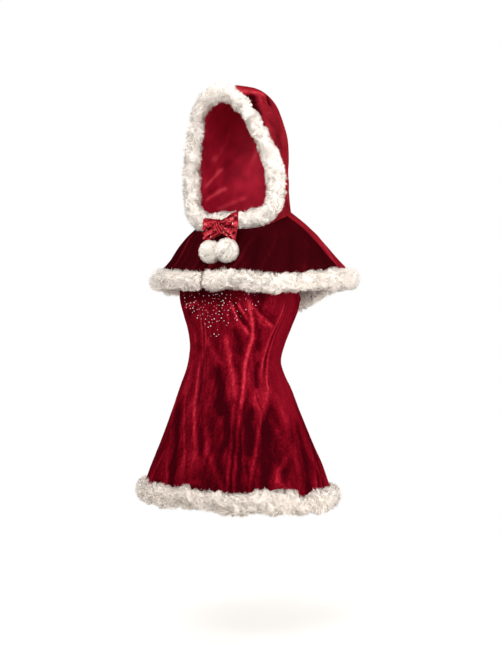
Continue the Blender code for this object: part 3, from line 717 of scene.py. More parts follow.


# %% [markdown]
# ## The dress
#
# Seven panels, from the middle front to the middle back, are taken in at the waist and flare into
# a skirt whose hem stands in flutes. The CAD model has the panels and the flutes; these lines add
# what the cloth does between them. They are written by azimuth round an axis and height: the
# folds that pull from the bust to the waist, the ridges and dark hollows of the skirt, and the
# stitched dart that runs down the wearer's left from the armhole into the skirt. The hidden back
# and right side get folds of the same kind.
# Each line also paints its fold: a painted highlight along a ridge, painted shade along a hollow.

# %% Creases of the dress
DRESS_AXIS_Y = -0.04
SKIRT_TOP, SKIRT_FADE = -360, 90        # height below which the velvet is skirt, and how soon
SMOOTH_AZIMUTH, SMOOTH_SPREAD = 88, 13
FIRST_AZIMUTH = -62     # azimuths run from here round the left side and the back to 298
# The last column paints light into the colour: a highlight on a ridge where positive, shade in a hollow where
# negative.
DRESS_CREASES = [       # azimuth and height of its points, width, height, nap
    ([(-20, -335), (-17, -381), (-13, -414), (-10, -447), (-7, -485), (-2, -530)], 5.2, 2.4, 0.85),
    ([(-14, -415), (-7, -485), (0, -534), (6, -585)], 8.2, 0.5, 0.66),
    ([(-20, -215), (-22, -291), (-15, -336), (-10, -375)], 2.4, 0.9, 0.50),
    ([(-16, -225), (-14, -313), (-9, -358), (-6, -400)], 2.4, 0.9, 0.45),
    ([(-18, -215), (-18, -300), (-12, -350), (-8, -390)], 2.2, -0.9, -0.30),
    ([(-33, -390), (-28, -438), (-17, -503), (-8, -561), (0, -650)], 3.1, 1.8, 0.45),
    ([(-38, -440), (-34, -471), (-22, -537), (-15, -609), (-12, -680)], 9.4, -2.4, -0.83),
    ([(-48, -420), (-41, -489), (-30, -538), (-27, -600)], 3.9, 1.8, 0.35),
    ([(-32, -550), (-36, -580), (-38, -622), (-39, -680)], 3.9, 2.0, 0.40),
    ([(-27, -555), (-26, -585), (-18, -623), (-15, -680)], 3.9, 2.0, 0.50),
    ([(-50, -216), (-42, -209), (-30, -203), (-18, -198)], 4.2, 1.6, 0.72),
    ([(-46, -230), (-34, -222), (-20, -217)], 4.5, -1.2, -0.55),
    ([(-38, -250), (-38, -330), (-33, -400)], 6.6, 0.9, 0.33),
    ([(-14, -282), (-2, -312), (8, -332), (12, -350)], 8.2, 0.3, 0.44),
    ([(10, -345), (15, -385), (19, -430), (24, -480)], 13.2, -1.6, -0.94),
    ([(26, -430), (27, -515), (23, -570)], 7.2, -1.4, -0.77),
    ([(30, -255), (38, -295), (40, -335)], 9.9, -0.9, -0.66),
    ([(3, -470), (9, -515), (15, -575)], 11.0, 0.5, 0.50),
    ([(14, -550), (20, -591), (26, -635), (29, -690)], 7.4, 2.0, 0.47),
    ([(18, -270), (21, -291), (27, -335), (31, -369), (33, -402), (34, -445)], 8.5, 1.8, 0.75),
    ([(34, -415), (33, -445), (32, -499), (31, -564), (30, -641), (30, -690)], 4.2, 2.4, 0.51),
    ([(41, -425), (37, -499), (35, -564), (34, -643), (34, -690)], 4.9, 2.4, 0.51),
    ([(33.5, -540), (32.5, -600), (32, -690)], 2.8, -1.2, -0.50),
    ([(41, -490), (40, -530), (40, -580), (44, -644), (47, -695)], 4.2, 2.4, 0.47),
    ([(39, -535), (37.5, -600), (39, -690)], 4.5, -2.6, -0.85),
    ([(59, -440), (55, -490), (51, -531), (46, -596), (44, -640), (43, -695)], 4.2, 2.2, 0.47),
    ([(50, -440), (47, -482), (46, -531), (44, -575)], 7.2, -1.4, -0.83),
    ([(66, -425), (61, -480), (57, -530), (55, -590), (52, -690)], 11.0, -2.0, -0.88),
    ([(45, -165), (50, -213), (54, -251), (55, -282), (50, -313), (46, -346), (43, -391), (40, -441),
      (37, -480)], 5.5, 2.6, 1.05),
    ([(55, -310), (53, -326), (48, -380), (45, -412), (42, -445)], 4.2, 1.8, 0.55),
    ([(59, -335), (57, -369), (55, -410)], 6.1, -1.2, -0.83),
    ([(62, -255), (61, -285), (60, -320)], 6.6, -0.8, -0.55),
    ([(27, -195), (31, -210), (38, -240), (49, -271), (53, -284)], 4.2, 2.4, 1.15),
    ([(36, -198), (39, -209), (44, -226), (50, -244)], 3.2, 1.6, 0.8),
    ([(34, -212), (40, -236), (47, -258)], 5.0, -2.2, -1.2),
    ([(49, -200), (53, -212), (60, -231), (72, -251), (78, -262)], 4.6, 2.2, 1.1),
    ([(50, -225), (56, -236), (63, -246), (72, -258)], 3.6, 1.4, 0.7),
    ([(62, -215), (70, -230), (80, -240)], 6.5, -1.0, -0.4),
    ([(85, -185), (84, -199), (81, -246), (75, -286), (70, -313), (64, -353), (62, -385)], 3.2, 1.4, 0.7),
    ([(88, -185), (87, -199), (84, -239), (80, -282), (74, -318), (70, -358), (66, -402), (63, -435),
      (57, -475)], 2.6, 1.3, 0.55),
    ([(86.5, -185), (82.5, -243), (77.5, -284), (72, -316), (67, -356), (64, -400)], 2.2, -0.9, -0.35),
    ([(68, -395), (63, -435), (58, -470)], 6.0, 1.2, 0.47),
    ([(52, -420), (55, -455), (57, -475)], 2.5, 1.0, 0.40),
    ([(76, -435), (77, -517), (77, -583), (79, -660)], 9.4, 0.6, 0.33),
    ([(90, -470), (88, -535), (86, -584), (83, -670)], 9.9, -0.8, -0.55),
    ([(71, -560), (68, -581), (63, -597), (61, -640)], 7.2, 0.5, 0.61),
    ([(98, -550), (94, -596), (88, -647), (85, -700)], 4.9, 2.2, 0.47),
    ([(99, -580), (96, -623), (94, -649), (93, -700)], 4.9, 2.2, 0.47),
    ([(98, -560), (92, -620), (89.5, -690)], 4.2, -2.6, -0.85),
    ([(108, -540), (101, -610), (98, -700)], 5.6, -2.4, -0.70),
    ([(-6, -636), (4, -631), (13, -622)], 7.4, 1.2, 0.59),
    ([(-52, -300), (-20, -312), (8, -306)], 9.9, -0.8, -0.28),
    ([(128, -250), (124, -340), (128, -420)], 6.0, 1.8, 0.5),
    ([(138, -230), (134, -330), (140, -440)], 8.0, -1.6, -0.55),
    ([(148, -420), (154, -520), (158, -680)], 4.5, 2.6, 0.6),
    ([(131, -440), (134, -540), (133, -680)], 5.0, 2.4, 0.5),
    ([(140, -470), (145, -560), (146, -680)], 9.0, -2.4, -0.75),
    ([(166, -300), (170, -380), (166, -480)], 8.0, -1.4, -0.5),
    ([(163, -250), (172, -330), (176, -420)], 4.5, 1.6, 0.55),
    ([(176, -330), (172, -345), (160, -352)], 5.0, 1.4, 0.4),
    ([(188, -300), (196, -318), (208, -326)], 5.0, 1.4, 0.45),
    ([(172, -480), (168, -570), (167, -680)], 4.5, 2.4, 0.5),
    ([(182, -440), (186, -540), (189, -680)], 5.0, 2.6, 0.6),
    ([(178, -470), (178, -560), (178, -680)], 8.0, -2.2, -0.7),
    ([(200, -250), (204, -350), (198, -450)], 7.0, 1.6, 0.5),
    ([(206, -430), (208, -540), (206, -680)], 5.0, 2.4, 0.55),
    ([(198, -460), (199, -560), (197, -680)], 9.0, -2.2, -0.7),
    ([(222, -230), (226, -330), (220, -420)], 6.0, -1.4, -0.5),
    ([(232, -420), (228, -540), (224, -680)], 5.0, 2.4, 0.5),
    ([(240, -260), (238, -350), (243, -470)], 6.0, 1.8, 0.5),
    ([(247, -450), (246, -560), (243, -680)], 4.5, 2.4, 0.55),
    ([(236, -480), (236, -580), (233, -680)], 9.0, -2.2, -0.7),
    ([(262, -200), (268, -300), (266, -420)], 3.0, 1.2, 0.5),
    ([(264, -480), (270, -570), (268, -680)], 5.0, 2.6, 0.55),
    ([(284, -460), (288, -560), (291, -680)], 5.0, 2.4, 0.5),
    ([(256, -470), (258, -570), (256, -680)], 8.0, -2.2, -0.65),
    ([(276, -480), (279, -580), (280, -680)], 8.0, -2.2, -0.65),
    ([(288, -190), (292, -300), (290, -410)], 2.4, 1.3, 0.55),
    ([(300, -420), (304, -540), (309, -680)], 10, -2.0, -0.7),
    ([(298, -230), (308, -262), (316, -300)], 4.5, 1.6, 0.55),
]


def round_axis(points, axis_y, bend):
    """Azimuth, height and millimetres to a degree of each point, and where its creases are read."""
    x, y, z = np.moveaxis(points, -1, 0)
    azimuth = np.degrees(np.arctan2(x, axis_y - y))
    azimuth = np.where(azimuth < FIRST_AZIMUTH, azimuth + 360, azimuth)
    up = z / MM
    per_degree = np.radians(1) * np.hypot(x, y - axis_y) / MM
    moved = azimuth + wavering(azimuth * per_degree, up, bend) / per_degree
    return azimuth, up, per_degree, np.stack([moved, up], axis=-1)


def dress_relief(points):
    """Height, pile lean and painted light, and crush of the dress: its creases, and the waves and patches
    between them.
    """
    azimuth, up, per_degree, place = round_axis(points, DRESS_AXIS_Y, 0.45)
    height, nap = crease_lines(place, DRESS_CREASES, per_degree, 0.5)
    # The cloth is pulled smooth at the wearer's left side, and crushed everywhere else.
    smooth_side = np.exp(-((azimuth - SMOOTH_AZIMUTH) / SMOOTH_SPREAD) ** 2)
    smooth_side *= np.clip((up + 520) / 60, 0.25, 1)
    crushed = 1 - 0.75 * smooth_side
    height += crushed * (0.5 * patchy(azimuth / 5.5, up / 46, 3) + 0.35 * patchy(azimuth / 2.7, up / 19, 4))
    # The patches of nap are stronger in the skirt.
    skirt = np.clip((SKIRT_TOP - up) / SKIRT_FADE, 0, 1)
    nap += crushed * ((0.2 + 0.22 * skirt) * patchy(azimuth / 8 + up / 300, up / 58, 5)
                      + (0.14 + 0.08 * skirt) * patchy(azimuth / 4, up / 22, 6))
    # The smooth side is a little lighter and the rest of the skirt darker low down; the front under the
    # capelet gets a painted shadow.
    nap += 0.12 * smooth_side - 0.36 * (1 - smooth_side) * np.clip((-420 - up) / 80, 0, 1)
    nap -= 0.6 * np.clip((up + 206) / 22, 0, 1) * np.clip((75 - azimuth) / 15, 0, 1)
    return height, nap, crushed


# %% Panels of the dress
DRESS_PANELS = [        # node, rows, columns
    ("dress_front", 112, 112),
    ("dress_side_front_left", 108, 116),
    ("dress_side_front_right", 88, 64),
    ("dress_side_back_left", 92, 64),
    ("dress_side_back_right", 88, 60),
    ("dress_back_left", 88, 36),
    ("dress_back_right", 88, 36),
]
seams = ("left", "right")
bust_rows = []
for index, (node, rows, columns) in enumerate(DRESS_PANELS):
    smooth = refined(wall_rows(node, (0, DRESS_AXIS_Y, None)), rows, columns)
    height, nap, crushed = dress_relief(smooth)
    height -= seam_grooves(smooth, seams)
    shaped = closed_up(raised(smooth, height), seams)
    shaped = pulled(shaped, PULLS["dress_fur_hem"])
    piece = cloth_wall(node + "_velvet", shaped, nap, VELVET_WALL, dress_velvet, shift=0.37 * index,
                       crushed=crushed)
    dress_in(piece, node, smooth)
    if "front" in node:
        bust_rows.append(shaped)

# %% [markdown]
# ## Sewing
#
# Three long darts are topstitched, one in front and one at each side, and each shows as a pair of
# dotted lines. Their rows are written by azimuth and height and laid on the cloth. A geometry node
# tree turns the lines into stitches: it steps along each and sets one short thread on every step.
#
# The thread is twisted polyester in the colour of the cloth. Its twist throws back a faint gloss
# and its shade changes from stitch to stitch, so a row shows as lighter and darker dots.

# %% Rows of stitches
STITCH_STANDS = 0.0002
ROW_STEP = 4.0          # millimetres of height between the points of a row
THREAD_SPECK = 0.0015
thread = speckled("polyester thread", "#5a0916", "#7e101f", THREAD_SPECK,
                  {"Roughness": 0.6, "Specular IOR Level": 0.05})

stitch_tree, stitch_sockets, given = new_tree("stitches along lines", "Lines", {
    "Pitch": "Float", "Length": "Float", "Thickness": "Float", "Material": "Material"})
lines = add(stitch_tree, "GeometryNodeMeshToCurve", {"Mesh": given["Lines"]})
steps = add(stitch_tree, "GeometryNodeCurveToPoints", {"Curve": lines.outputs[0], "Length": given["Pitch"]},
            mode="LENGTH")
sides = add(stitch_tree, "ShaderNodeCombineXYZ", {"X": given["Thickness"], "Y": given["Thickness"],
                                                  "Z": given["Length"]})
stitch = add(stitch_tree, "GeometryNodeMeshCube", {"Size": sides.outputs[0]})
along = add(stitch_tree, "FunctionNodeAlignRotationToVector", {"Vector": steps.outputs["Tangent"]}, axis="Z")
sewn = add(stitch_tree, "GeometryNodeInstanceOnPoints", {
    "Points": steps.outputs["Points"], "Instance": stitch.outputs[0], "Rotation": along.outputs[0]})
sewn = add(stitch_tree, "GeometryNodeRealizeInstances", {"Geometry": sewn.outputs[0]})
sewn = add(stitch_tree, "GeometryNodeSetMaterial", {
    "Geometry": sewn.outputs[0], "Material": given["Material"]})
add(stitch_tree, "NodeGroupOutput", {0: sewn.outputs[0]})

STITCHED = [            # azimuth and height of the points of each row
    [(-21, -190), (-23, -250), (-23, -291), (-17, -336), (-12, -370), (-10, -420), (-8, -480)],
    [(-14, -190), (-15, -250), (-14, -305), (-9, -350), (-6, -400), (-4, -470)],
    [(83, -185), (80, -240), (75, -284), (70, -316), (65, -356), (62, -400), (59, -440), (55, -475)],
    [(89, -185), (86, -240), (82, -284), (76, -320), (72, -360), (68, -404), (65, -440), (59, -478)],
    [(-83, -185), (-80, -240), (-75, -284), (-70, -316), (-65, -356), (-62, -400), (-59, -440)],
    [(-89, -185), (-86, -240), (-82, -284), (-76, -320), (-72, -360), (-68, -404), (-65, -440)],
]


def on_dress(azimuth, up):
    """The place on the outside of the dress at an azimuth and height, a little off the cloth."""
    outward = Vector((sin(radians(azimuth)), -cos(radians(azimuth)), 0))
    start = Vector((0, DRESS_AXIS_Y, up * MM)) + outward * 0.5
    hits = [made_pieces[node].ray_cast(start, -outward) for node, *_ in DRESS_PANELS]
    place, normal = min(((place, normal) for hit, place, normal, _ in hits if hit),
                        key=lambda found: (found[0] - start).length)
    return place + normal * STITCH_STANDS


seam_points, seam_edges = [], []
for row in STITCHED:
    azimuths, heights = np.array(row).T
    for index, up in enumerate(np.arange(heights[0], heights[-1], -ROW_STEP)):
        seam_points.append(on_dress(np.interp(-up, -heights, azimuths), up))
        if index:
            seam_edges.append((len(seam_points) - 2, len(seam_points) - 1))
mesh = bpy.data.meshes.new("seam lines")
mesh.from_pydata(seam_points, seam_edges, [])
stitches = with_tree(placed("seam lines", mesh), stitch_tree, stitch_sockets, {
    "Pitch": 0.0036, "Length": 0.0021, "Thickness": 0.0007, "Material": thread}, "dress_topstitching")
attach(stitches, "root")
print(f"{len(stitches.data.polygons) // 6} stitches")

# %% [markdown]
# ## Shoulder straps
#
# Two narrow straps hold the dress up under the capelet. They are the same velvet, folded flat.

# %% Straps
STRAP_HEART = (0, 0.03, -0.15)
for side in ("left", "right"):
    node = "dress_strap_" + side
    smooth = refined(wall_rows(node, STRAP_HEART), 60, 7)
    piece = cloth_wall(node + "_velvet", smooth, patchy(*np.indices(smooth.shape[:2]) / 4.0, 9) * 0.4,
                       VELVET_WALL * 0.9, dress_velvet, shift=3.0)
    dress_in(piece, node, smooth)

# %% [markdown]
# ## The capelet
#
# The capelet is cut smooth, so its velvet is not crushed. Its two fronts have their pile lying
# down and are coloured nearly black, partly as painted shade; the back piece has it the other way
# and is coloured bright red, partly as a painted highlight, which shows as a strip beyond the left
# side seam. Soft folds fall from the shoulders to the fur, with painted highlights on their ridges
# and painted shade in their hollows.

# %% Capelet
CAPE_AXIS_Y = 0.015
# The last column is painted light: a highlight on a ridge where positive, shade in a hollow where negative.
CAPE_CREASES = [        # azimuth and height of its points, width, height, nap
    ([(-44, -20), (-42, -60), (-43, -84), (-40, -120)], 6.0, 2.0, 0.7),
    ([(-52, -30), (-50, -80), (-49, -140)], 8.0, -1.6, -0.3),
    ([(-30, -30), (-28, -80), (-24, -140)], 7.0, -1.4, -0.3),
    ([(-22, -50), (-15, -90), (-10, -140)], 5.0, 1.6, 0.5),
    ([(3, -70), (-3, -104), (-8, -135)], 4.5, 1.2, 0.45),
    ([(27, -60), (17, -105), (8, -135)], 4.5, 1.4, 0.4),
    ([(40, -30), (32, -67), (26, -100), (20, -140)], 5.0, 1.6, 0.4),
    ([(44, -30), (40, -80), (34, -145)], 8.0, -1.4, -0.3),
    ([(62, -20), (53, -67), (44, -110), (41, -150)], 6.0, 1.6, 0.25),
    ([(74, -20), (66, -80), (58, -150)], 10, -1.8, -0.3),
    ([(84, -30), (78, -78), (71, -118), (69, -150)], 6.0, 1.8, 0.2),
    ([(97, 0), (92, -60), (86, -150)], 9.0, -1.4, -0.2),
    ([(106, -10), (103, -62), (98, -115), (97, -150)], 6.0, 1.6, 0.5),
    ([(120, 10), (118, -60), (112, -150)], 9.0, -2.0, -0.6),
    ([(134, 10), (132, -60), (130, -160)], 7.0, 2.0, 0.4),
    ([(150, 20), (146, -60), (143, -160)], 9.0, -2.0, -0.5),
    ([(163, 20), (164, -70), (160, -180)], 6.0, 2.0, 0.4),
    ([(178, 10), (176, -70), (177, -190)], 9.0, -1.8, -0.5),
    ([(192, 20), (194, -70), (197, -180)], 7.0, 2.2, 0.45),
    ([(207, 20), (209, -60), (212, -160)], 9.0, -2.0, -0.5),
    ([(222, 10), (226, -60), (229, -160)], 6.0, 2.0, 0.4),
    ([(238, 10), (242, -60), (246, -150)], 9.0, -2.0, -0.5),
    ([(252, 0), (258, -60), (262, -150)], 7.0, 2.0, 0.4),
    ([(270, -10), (276, -70), (280, -150)], 9.0, -1.8, -0.3),
    ([(290, -20), (294, -80), (298, -150)], 7.0, 1.8, 0.4),
]


def cape_relief(points):
    """Height, pile lean and painted light of the capelet: its creases, and the waves and patches between
    them.
    """
    azimuth, up, per_degree, place = round_axis(points, CAPE_AXIS_Y, 0.7)
    height, nap = crease_lines(place, CAPE_CREASES, per_degree, 0.4)
    height += 0.4 * patchy(azimuth / 9, up / 40, 13)
    nap += 0.25 * patchy(azimuth / 13 + up / 90, up / 45, 14)
    return height, nap


CAPE_PANELS = [         # node, rows, columns, edges that are seams, velvet
    ("cape_front_left", 44, 84, ("right", "top"), cape_velvet),
    ("cape_front_right", 44, 84, ("left", "top"), cape_velvet),
    ("cape_back", 44, 130, ("left", "right", "top"), cape_back_velvet),
]
for index, (node, rows, columns, seams, material) in enumerate(CAPE_PANELS):
    smooth = refined(wall_rows(node, (0, CAPE_AXIS_Y, None)), rows, columns)
    height, nap = cape_relief(smooth)
    height -= seam_grooves(smooth, seams)
    height *= 1 - nearness(smooth, ("top",), NECK_CALM)
    shaped = closed_up(raised(smooth, height), seams)
    shaped = pulled(shaped, PULLS["cape_fur_hem"])
    piece = cloth_wall(node + "_velvet", shaped, nap, VELVET_WALL, material, shift=4 + 0.7 * index)
    dress_in(piece, node, smooth)

# %% [markdown]
# ## The hood
#
# The hood is two halves joined over the crown. It hangs open at the front, so the velvet folds
# over behind the fur band: a deep pit with a ridge beside it on each side of the crown, and short
# creases low down, where the band pushes the cloth back. The pits are coloured dark as painted
# shade, and the ridges and the crown in front of them carry painted highlights. Its lines are written
# in x, y and z on the wearer's left half and mirrored for the right. The satin lining follows the
# velvet where it sinks, and has soft streaks of painted highlight of its own. The seam over the crown
# lies in the middle plane.

# %% Hood and lining
HOOD_HEART = (0, -0.03, 0.17)
HOOD_FULLNESS = 7.5     # how far each side stands out beyond the CAD model where it is fullest
FULLEST_AZIMUTH, AZIMUTH_SPREAD = 126, 34
FULLEST_HEIGHT, HEIGHT_SPREAD = 205, 66
# The last column is painted light: the dark pits are painted shade, the crown and the ridges painted
# highlight.
HOOD_CREASES = [        # x, y and z of its points, width, height, nap
    ([(10, -72, 336), (36, -62, 320), (50, -40, 320), (57, -10, 318), (54, 12, 322)], 11, 0.8, 0.85),
    ([(44, -80, 308), (53, -73, 301), (56, -66, 300)], 7.0, 0.4, 0.7),
    ([(50, -40, 319), (58, -46, 307), (68, -52, 292), (78, -54, 274), (86, -56, 254)], 8.5, -5.0, -2.4),
    ([(52, -22, 321), (66, -30, 308), (78, -38, 291), (89, -42, 268), (98, -42, 240), (104, -40, 212)],
     3.6, 3.4, 0.7),
    ([(56, 8, 320), (62, -1, 311), (71, -7, 299), (80, -12, 284)], 4.6, -3.0, -1.1),
    ([(84, -30, 262), (100, -21, 221), (107, -11, 189), (112, -10, 160)], 12, -0.8, -0.3),
    ([(60, 14, 308), (80, 22, 284), (95, 26, 250), (104, 30, 200), (106, 34, 150)], 7.0, 1.0, 0.5),
    ([(121, -38, 138), (118, -15, 129), (111, 11, 120), (103, 34, 110)], 3.2, 2.2, 0.8),
    ([(122, -24, 116), (118, -6, 108), (110, 18, 104)], 3.6, -1.8, -0.55),
    ([(121, -24, 98), (118, -2, 93), (110, 24, 88)], 3.2, 1.4, 0.4),
    ([(121, -20, 78), (117, 0, 72), (111, 19, 60), (108, 26, 40)], 3.2, 1.8, 0.6),
    ([(122, -20, 62), (116, 4, 54), (108, 24, 30)], 3.6, -1.6, -0.5),
    ([(112, 20, 160), (104, 44, 140), (94, 62, 110)], 8.0, -1.6, -0.4),
    ([(106, 30, 110), (94, 58, 84), (80, 78, 60)], 7.0, 1.6, 0.35),
    ([(60, 60, 290), (78, 66, 240), (84, 72, 190)], 9.0, 1.4, 0.3),
    ([(40, 86, 250), (56, 90, 200), (60, 92, 150)], 8.0, -1.4, -0.4),
    ([(20, 96, 180), (34, 98, 130), (44, 96, 80)], 7.0, 1.6, 0.4),
]
# The brightness of each lining line is a painted highlight, or painted shade where it is negative.
LINING_SHEEN = [        # x, y and z of its points, width, height, brightness
    ([(117, -22, 58), (113, -4, 72), (104, 26, 90), (92, 48, 100)], 5.0, 1.0, 1.0),
    ([(118, -24, 92), (116, -8, 106), (110, 6, 122), (104, 18, 136), (96, 36, 150)], 4.5, 1.2, 0.9),
    ([(116, -14, 80), (110, 6, 92), (104, 20, 104)], 5.0, -1.0, -0.5),
    ([(112, -6, 160), (104, 20, 186), (94, 34, 214), (80, 40, 246)], 8.0, 0.8, 0.5),
    ([(108, 10, 40), (96, 40, 52), (80, 66, 66), (50, 84, 76)], 7.0, 1.0, 0.6),
    ([(104, 30, 150), (90, 56, 170), (70, 74, 200)], 9.0, -1.0, -0.5),
    ([(60, 84, 120), (44, 90, 170), (30, 90, 220)], 8.0, 0.8, 0.5),
]


def hood_relief(points, lines, fullness=HOOD_FULLNESS):
    """Height, pile lean and painted light of one half of the hood: its lines, slow waves, and the fullness of
    its side.
    """
    place = points / MM
    side = np.sign(place[..., 0].mean())
    place[..., 0] *= side
    up = place[..., 2]
    warped = place.copy()
    warped[..., 1] += wavering(place[..., 1], up, 0.6)
    height, nap = crease_lines(warped, lines)
    height += 0.5 * patchy(place[..., 1] / 22 + 9 * side, up / 38, 23)
    turned = np.degrees(np.arctan2(place[..., 0], HOOD_HEART[1] / MM - place[..., 1]))
    height += fullness * np.exp(-((turned - FULLEST_AZIMUTH) / AZIMUTH_SPREAD) ** 2
                                - ((up - FULLEST_HEIGHT) / HEIGHT_SPREAD) ** 2)
    nap += (0.22 * patchy(place[..., 1] / 20 + 9 * side, up / 34, 24)
            + 0.12 * patchy(place[..., 1] / 8, up / 14, 25))
    return height, nap


def mirrored(points):
    """The same rows on the wearer's other side, with columns still to the right from outside."""
    return points[:, ::-1] * np.array((-1, 1, 1))


for index, (side, seam) in enumerate((("left", "right"), ("right", "left"))):
    for part, wall, material, seams, rows, columns in (
            ("hood_", VELVET_WALL, hood_velvet, (seam, "top", "bottom"), 96, 72),
            ("hood_lining_", SATIN_WALL, satin, (), 72, 54)):
        smooth = refined(wall_rows(part + "left", HOOD_HEART), rows, columns)
        if side == "right":
            smooth = mirrored(smooth)
        height, nap = hood_relief(smooth, HOOD_CREASES)
        # The lining takes its colour from its own lines of painted highlight and shade.
        if material is satin:
            bulges, nap = hood_relief(smooth, LINING_SHEEN, 0)
            height = np.minimum(height, 0) - np.abs(bulges)
        height -= seam_grooves(smooth, seams)
        height *= 1 - nearness(smooth, ("bottom",), NECK_CALM)
        shaped = closed_up(raised(smooth, height), seams)
        shaped[:, -1 if seam == "right" else 0, 0] = 0
        shaped[-1, :, 0] = 0
        shaped = pulled(shaped, HOOD_PULLS)
        piece = cloth_wall(part + side + ("_satin" if material is satin else "_velvet"), shaped, nap, wall,
                           material, shift=8 + 0.6 * index)
        dress_in(piece, part + side, smooth)


# %% [markdown]
# ## The bow
#
# Each loop of the bow is one strip of ribbon velvet, folded back on itself and pinched into the
# knot, so pleats fan out from the knot and die away toward the fold. The CAD loop is the strip. It
# is made taller beside the knot, the pleats are added along it, and its corners are pulled by listed
# amounts. The knot is a short band wrapped round the middle with its ends behind, and its wraps run
# across it at a slant. Pleats and wraps carry painted highlights on ridges and painted shade in hollows.

# %% Loops of the bow
LOOP_ROWS, LOOP_COLUMNS = 44, 76
PLEATS = 2.6            # pleats across the height of a loop
PLEAT_DEPTH = 2.4
LOOP_FULLNESS = {"left": 0.5, "right": 0.95}     # how much taller the loop is beside the knot
# The last column of each crease is painted light: a highlight where positive, shade where negative.
LOOP_CREASES = [        # share of the way round, share of the height, width, height, nap
    ([(0.05, 0.62), (0.2, 0.7), (0.42, 0.86)], 0.06, 1.6, 0.8),
    ([(0.02, 0.5), (0.2, 0.47), (0.38, 0.4)], 0.07, -2.4, -1.3),
    ([(0.05, 0.3), (0.22, 0.2), (0.44, 0.1)], 0.05, 1.5, 0.7),
    ([(0.1, 0.12), (0.26, 0.06), (0.42, 0.03)], 0.05, -1.6, -1.0),
    ([(0.2, 0.9), (0.32, 0.8), (0.46, 0.72)], 0.045, -1.8, -1.0),
    ([(0.3, 0.3), (0.4, 0.26), (0.49, 0.3)], 0.04, -1.4, -0.9),
    ([(0.28, 0.56), (0.4, 0.6), (0.5, 0.5)], 0.06, 1.4, 0.6),
]

bow_rows = []
for side in ("left", "right"):
    node = "bow_loop_" + side
    low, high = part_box(node)
    smooth = refined(wall_rows(node, (low + high) / 2), LOOP_ROWS, LOOP_COLUMNS)
    up, way = np.meshgrid(np.linspace(0, 1, LOOP_ROWS), np.linspace(0, 1, LOOP_COLUMNS), indexing="ij")
    if side == "right":
        way = 1 - way
    pinched = np.abs(2 * way - 1) ** 1.5
    fuller = 1 + LOOP_FULLNESS[side] * pinched
    centre_line = smooth[..., 2].mean(axis=0)
    formed = smooth.copy()
    formed[..., 2] = centre_line + (smooth[..., 2] - centre_line) * fuller
    pleats = np.sin(up * tau * PLEATS + 1.1 * np.sin(way * 7) + 0.8 * np.sin(up * 9))
    height, nap = crease_lines(np.stack([way, up], axis=-1), LOOP_CREASES)
    height += PLEAT_DEPTH * pleats * pinched + 0.7 * patchy(way * 14, up * 7, 30)
    # The pleats are painted too, with highlight on their ridges and shade in their folds, over random patches
    # of pile.
    nap += 0.55 * pleats * pinched + 0.35 * patchy(way * 9, up * 7, 31) + 0.45 * patchy(way * 34, up * 20, 32)
    shaped = pulled(raised(formed, height), PULLS["bow_loop"])
    piece = cloth_wall(node + "_ribbon", shaped, nap, VELVET_WALL, bow_velvet, shift=12)
    dress_in(piece, node, formed)
    bow_rows.append(shaped)

# %% Knot of the bow
KNOT_OPEN = 0.09        # radians between the ends of the band and the middle of its back
KNOT_SLANT = radians(30)
low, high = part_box("bow_knot")
knot_middle, knot_half = (low + high) / 2, (high - low) / 2
turn, lane = np.meshgrid(np.linspace(KNOT_OPEN, tau - KNOT_OPEN, 80), np.linspace(-1, 1, 24), indexing="ij")
wrap = np.sin(2.4 * pi * lane + 1.3 * np.sin(turn) + 0.8)
reach = 0.95 - 0.1 * np.abs(lane) ** 3 + 0.05 * wrap
level = knot_half.x * lane * (0.96 - 0.04 * np.cos(turn))
upright = -knot_half.z * reach * np.sin(turn)
knot_rows = np.stack([knot_middle.x + level * cos(KNOT_SLANT) - upright * sin(KNOT_SLANT),
                      knot_middle.y + knot_half.y * reach * np.cos(turn),
                      knot_middle.z + level * sin(KNOT_SLANT) + upright * cos(KNOT_SLANT)], axis=-1)
# Painted shade darkens the hollow at the top of the knot, and its wraps carry painted highlight and shade.
hollow_shade = np.clip(upright / knot_half.z * 2.6 - 1.1, 0, 1)
knot = cloth_wall("bow_knot_ribbon", knot_rows, 0.6 * wrap - 1.2 * hollow_shade, VELVET_WALL, bow_velvet, shift=13)
dress_in(knot, "bow_knot", knot_rows)

# %% [markdown]
# ## Faux fur
#
# Faux fur is a knitted backing with acrylic hairs 15 to 20 mm long, cut as a strip and rolled over
# an edge. The hairs stick together in tufts, and what the eye sees is the tufts: round soft lumps
# with shade between them and single hairs against the background.
#
# One geometry node tree makes the pile of every band and pompom. It sinks the surface of the CAD
# band by about half a hair, less where the band meets its cloth, and lumps it. It scatters hairs
# over it, gathers the tips of each tuft, lays the tufts along the surface by a slow noise, and gives
# each hair its own length and twist. A hair is a flat blade of three triangles, since thousands are
# needed and each is less than a pixel wide. Every band and pompom has the same white fur, given its
# own brightness: the hem's is darker as painted shade and the pompoms' lighter as painted light. The
# roots are coloured darker too, as painted shade deep in the pile.

# %% Fur material


FUR_PATCH = 0.014       # metres across a lighter or darker patch of fur


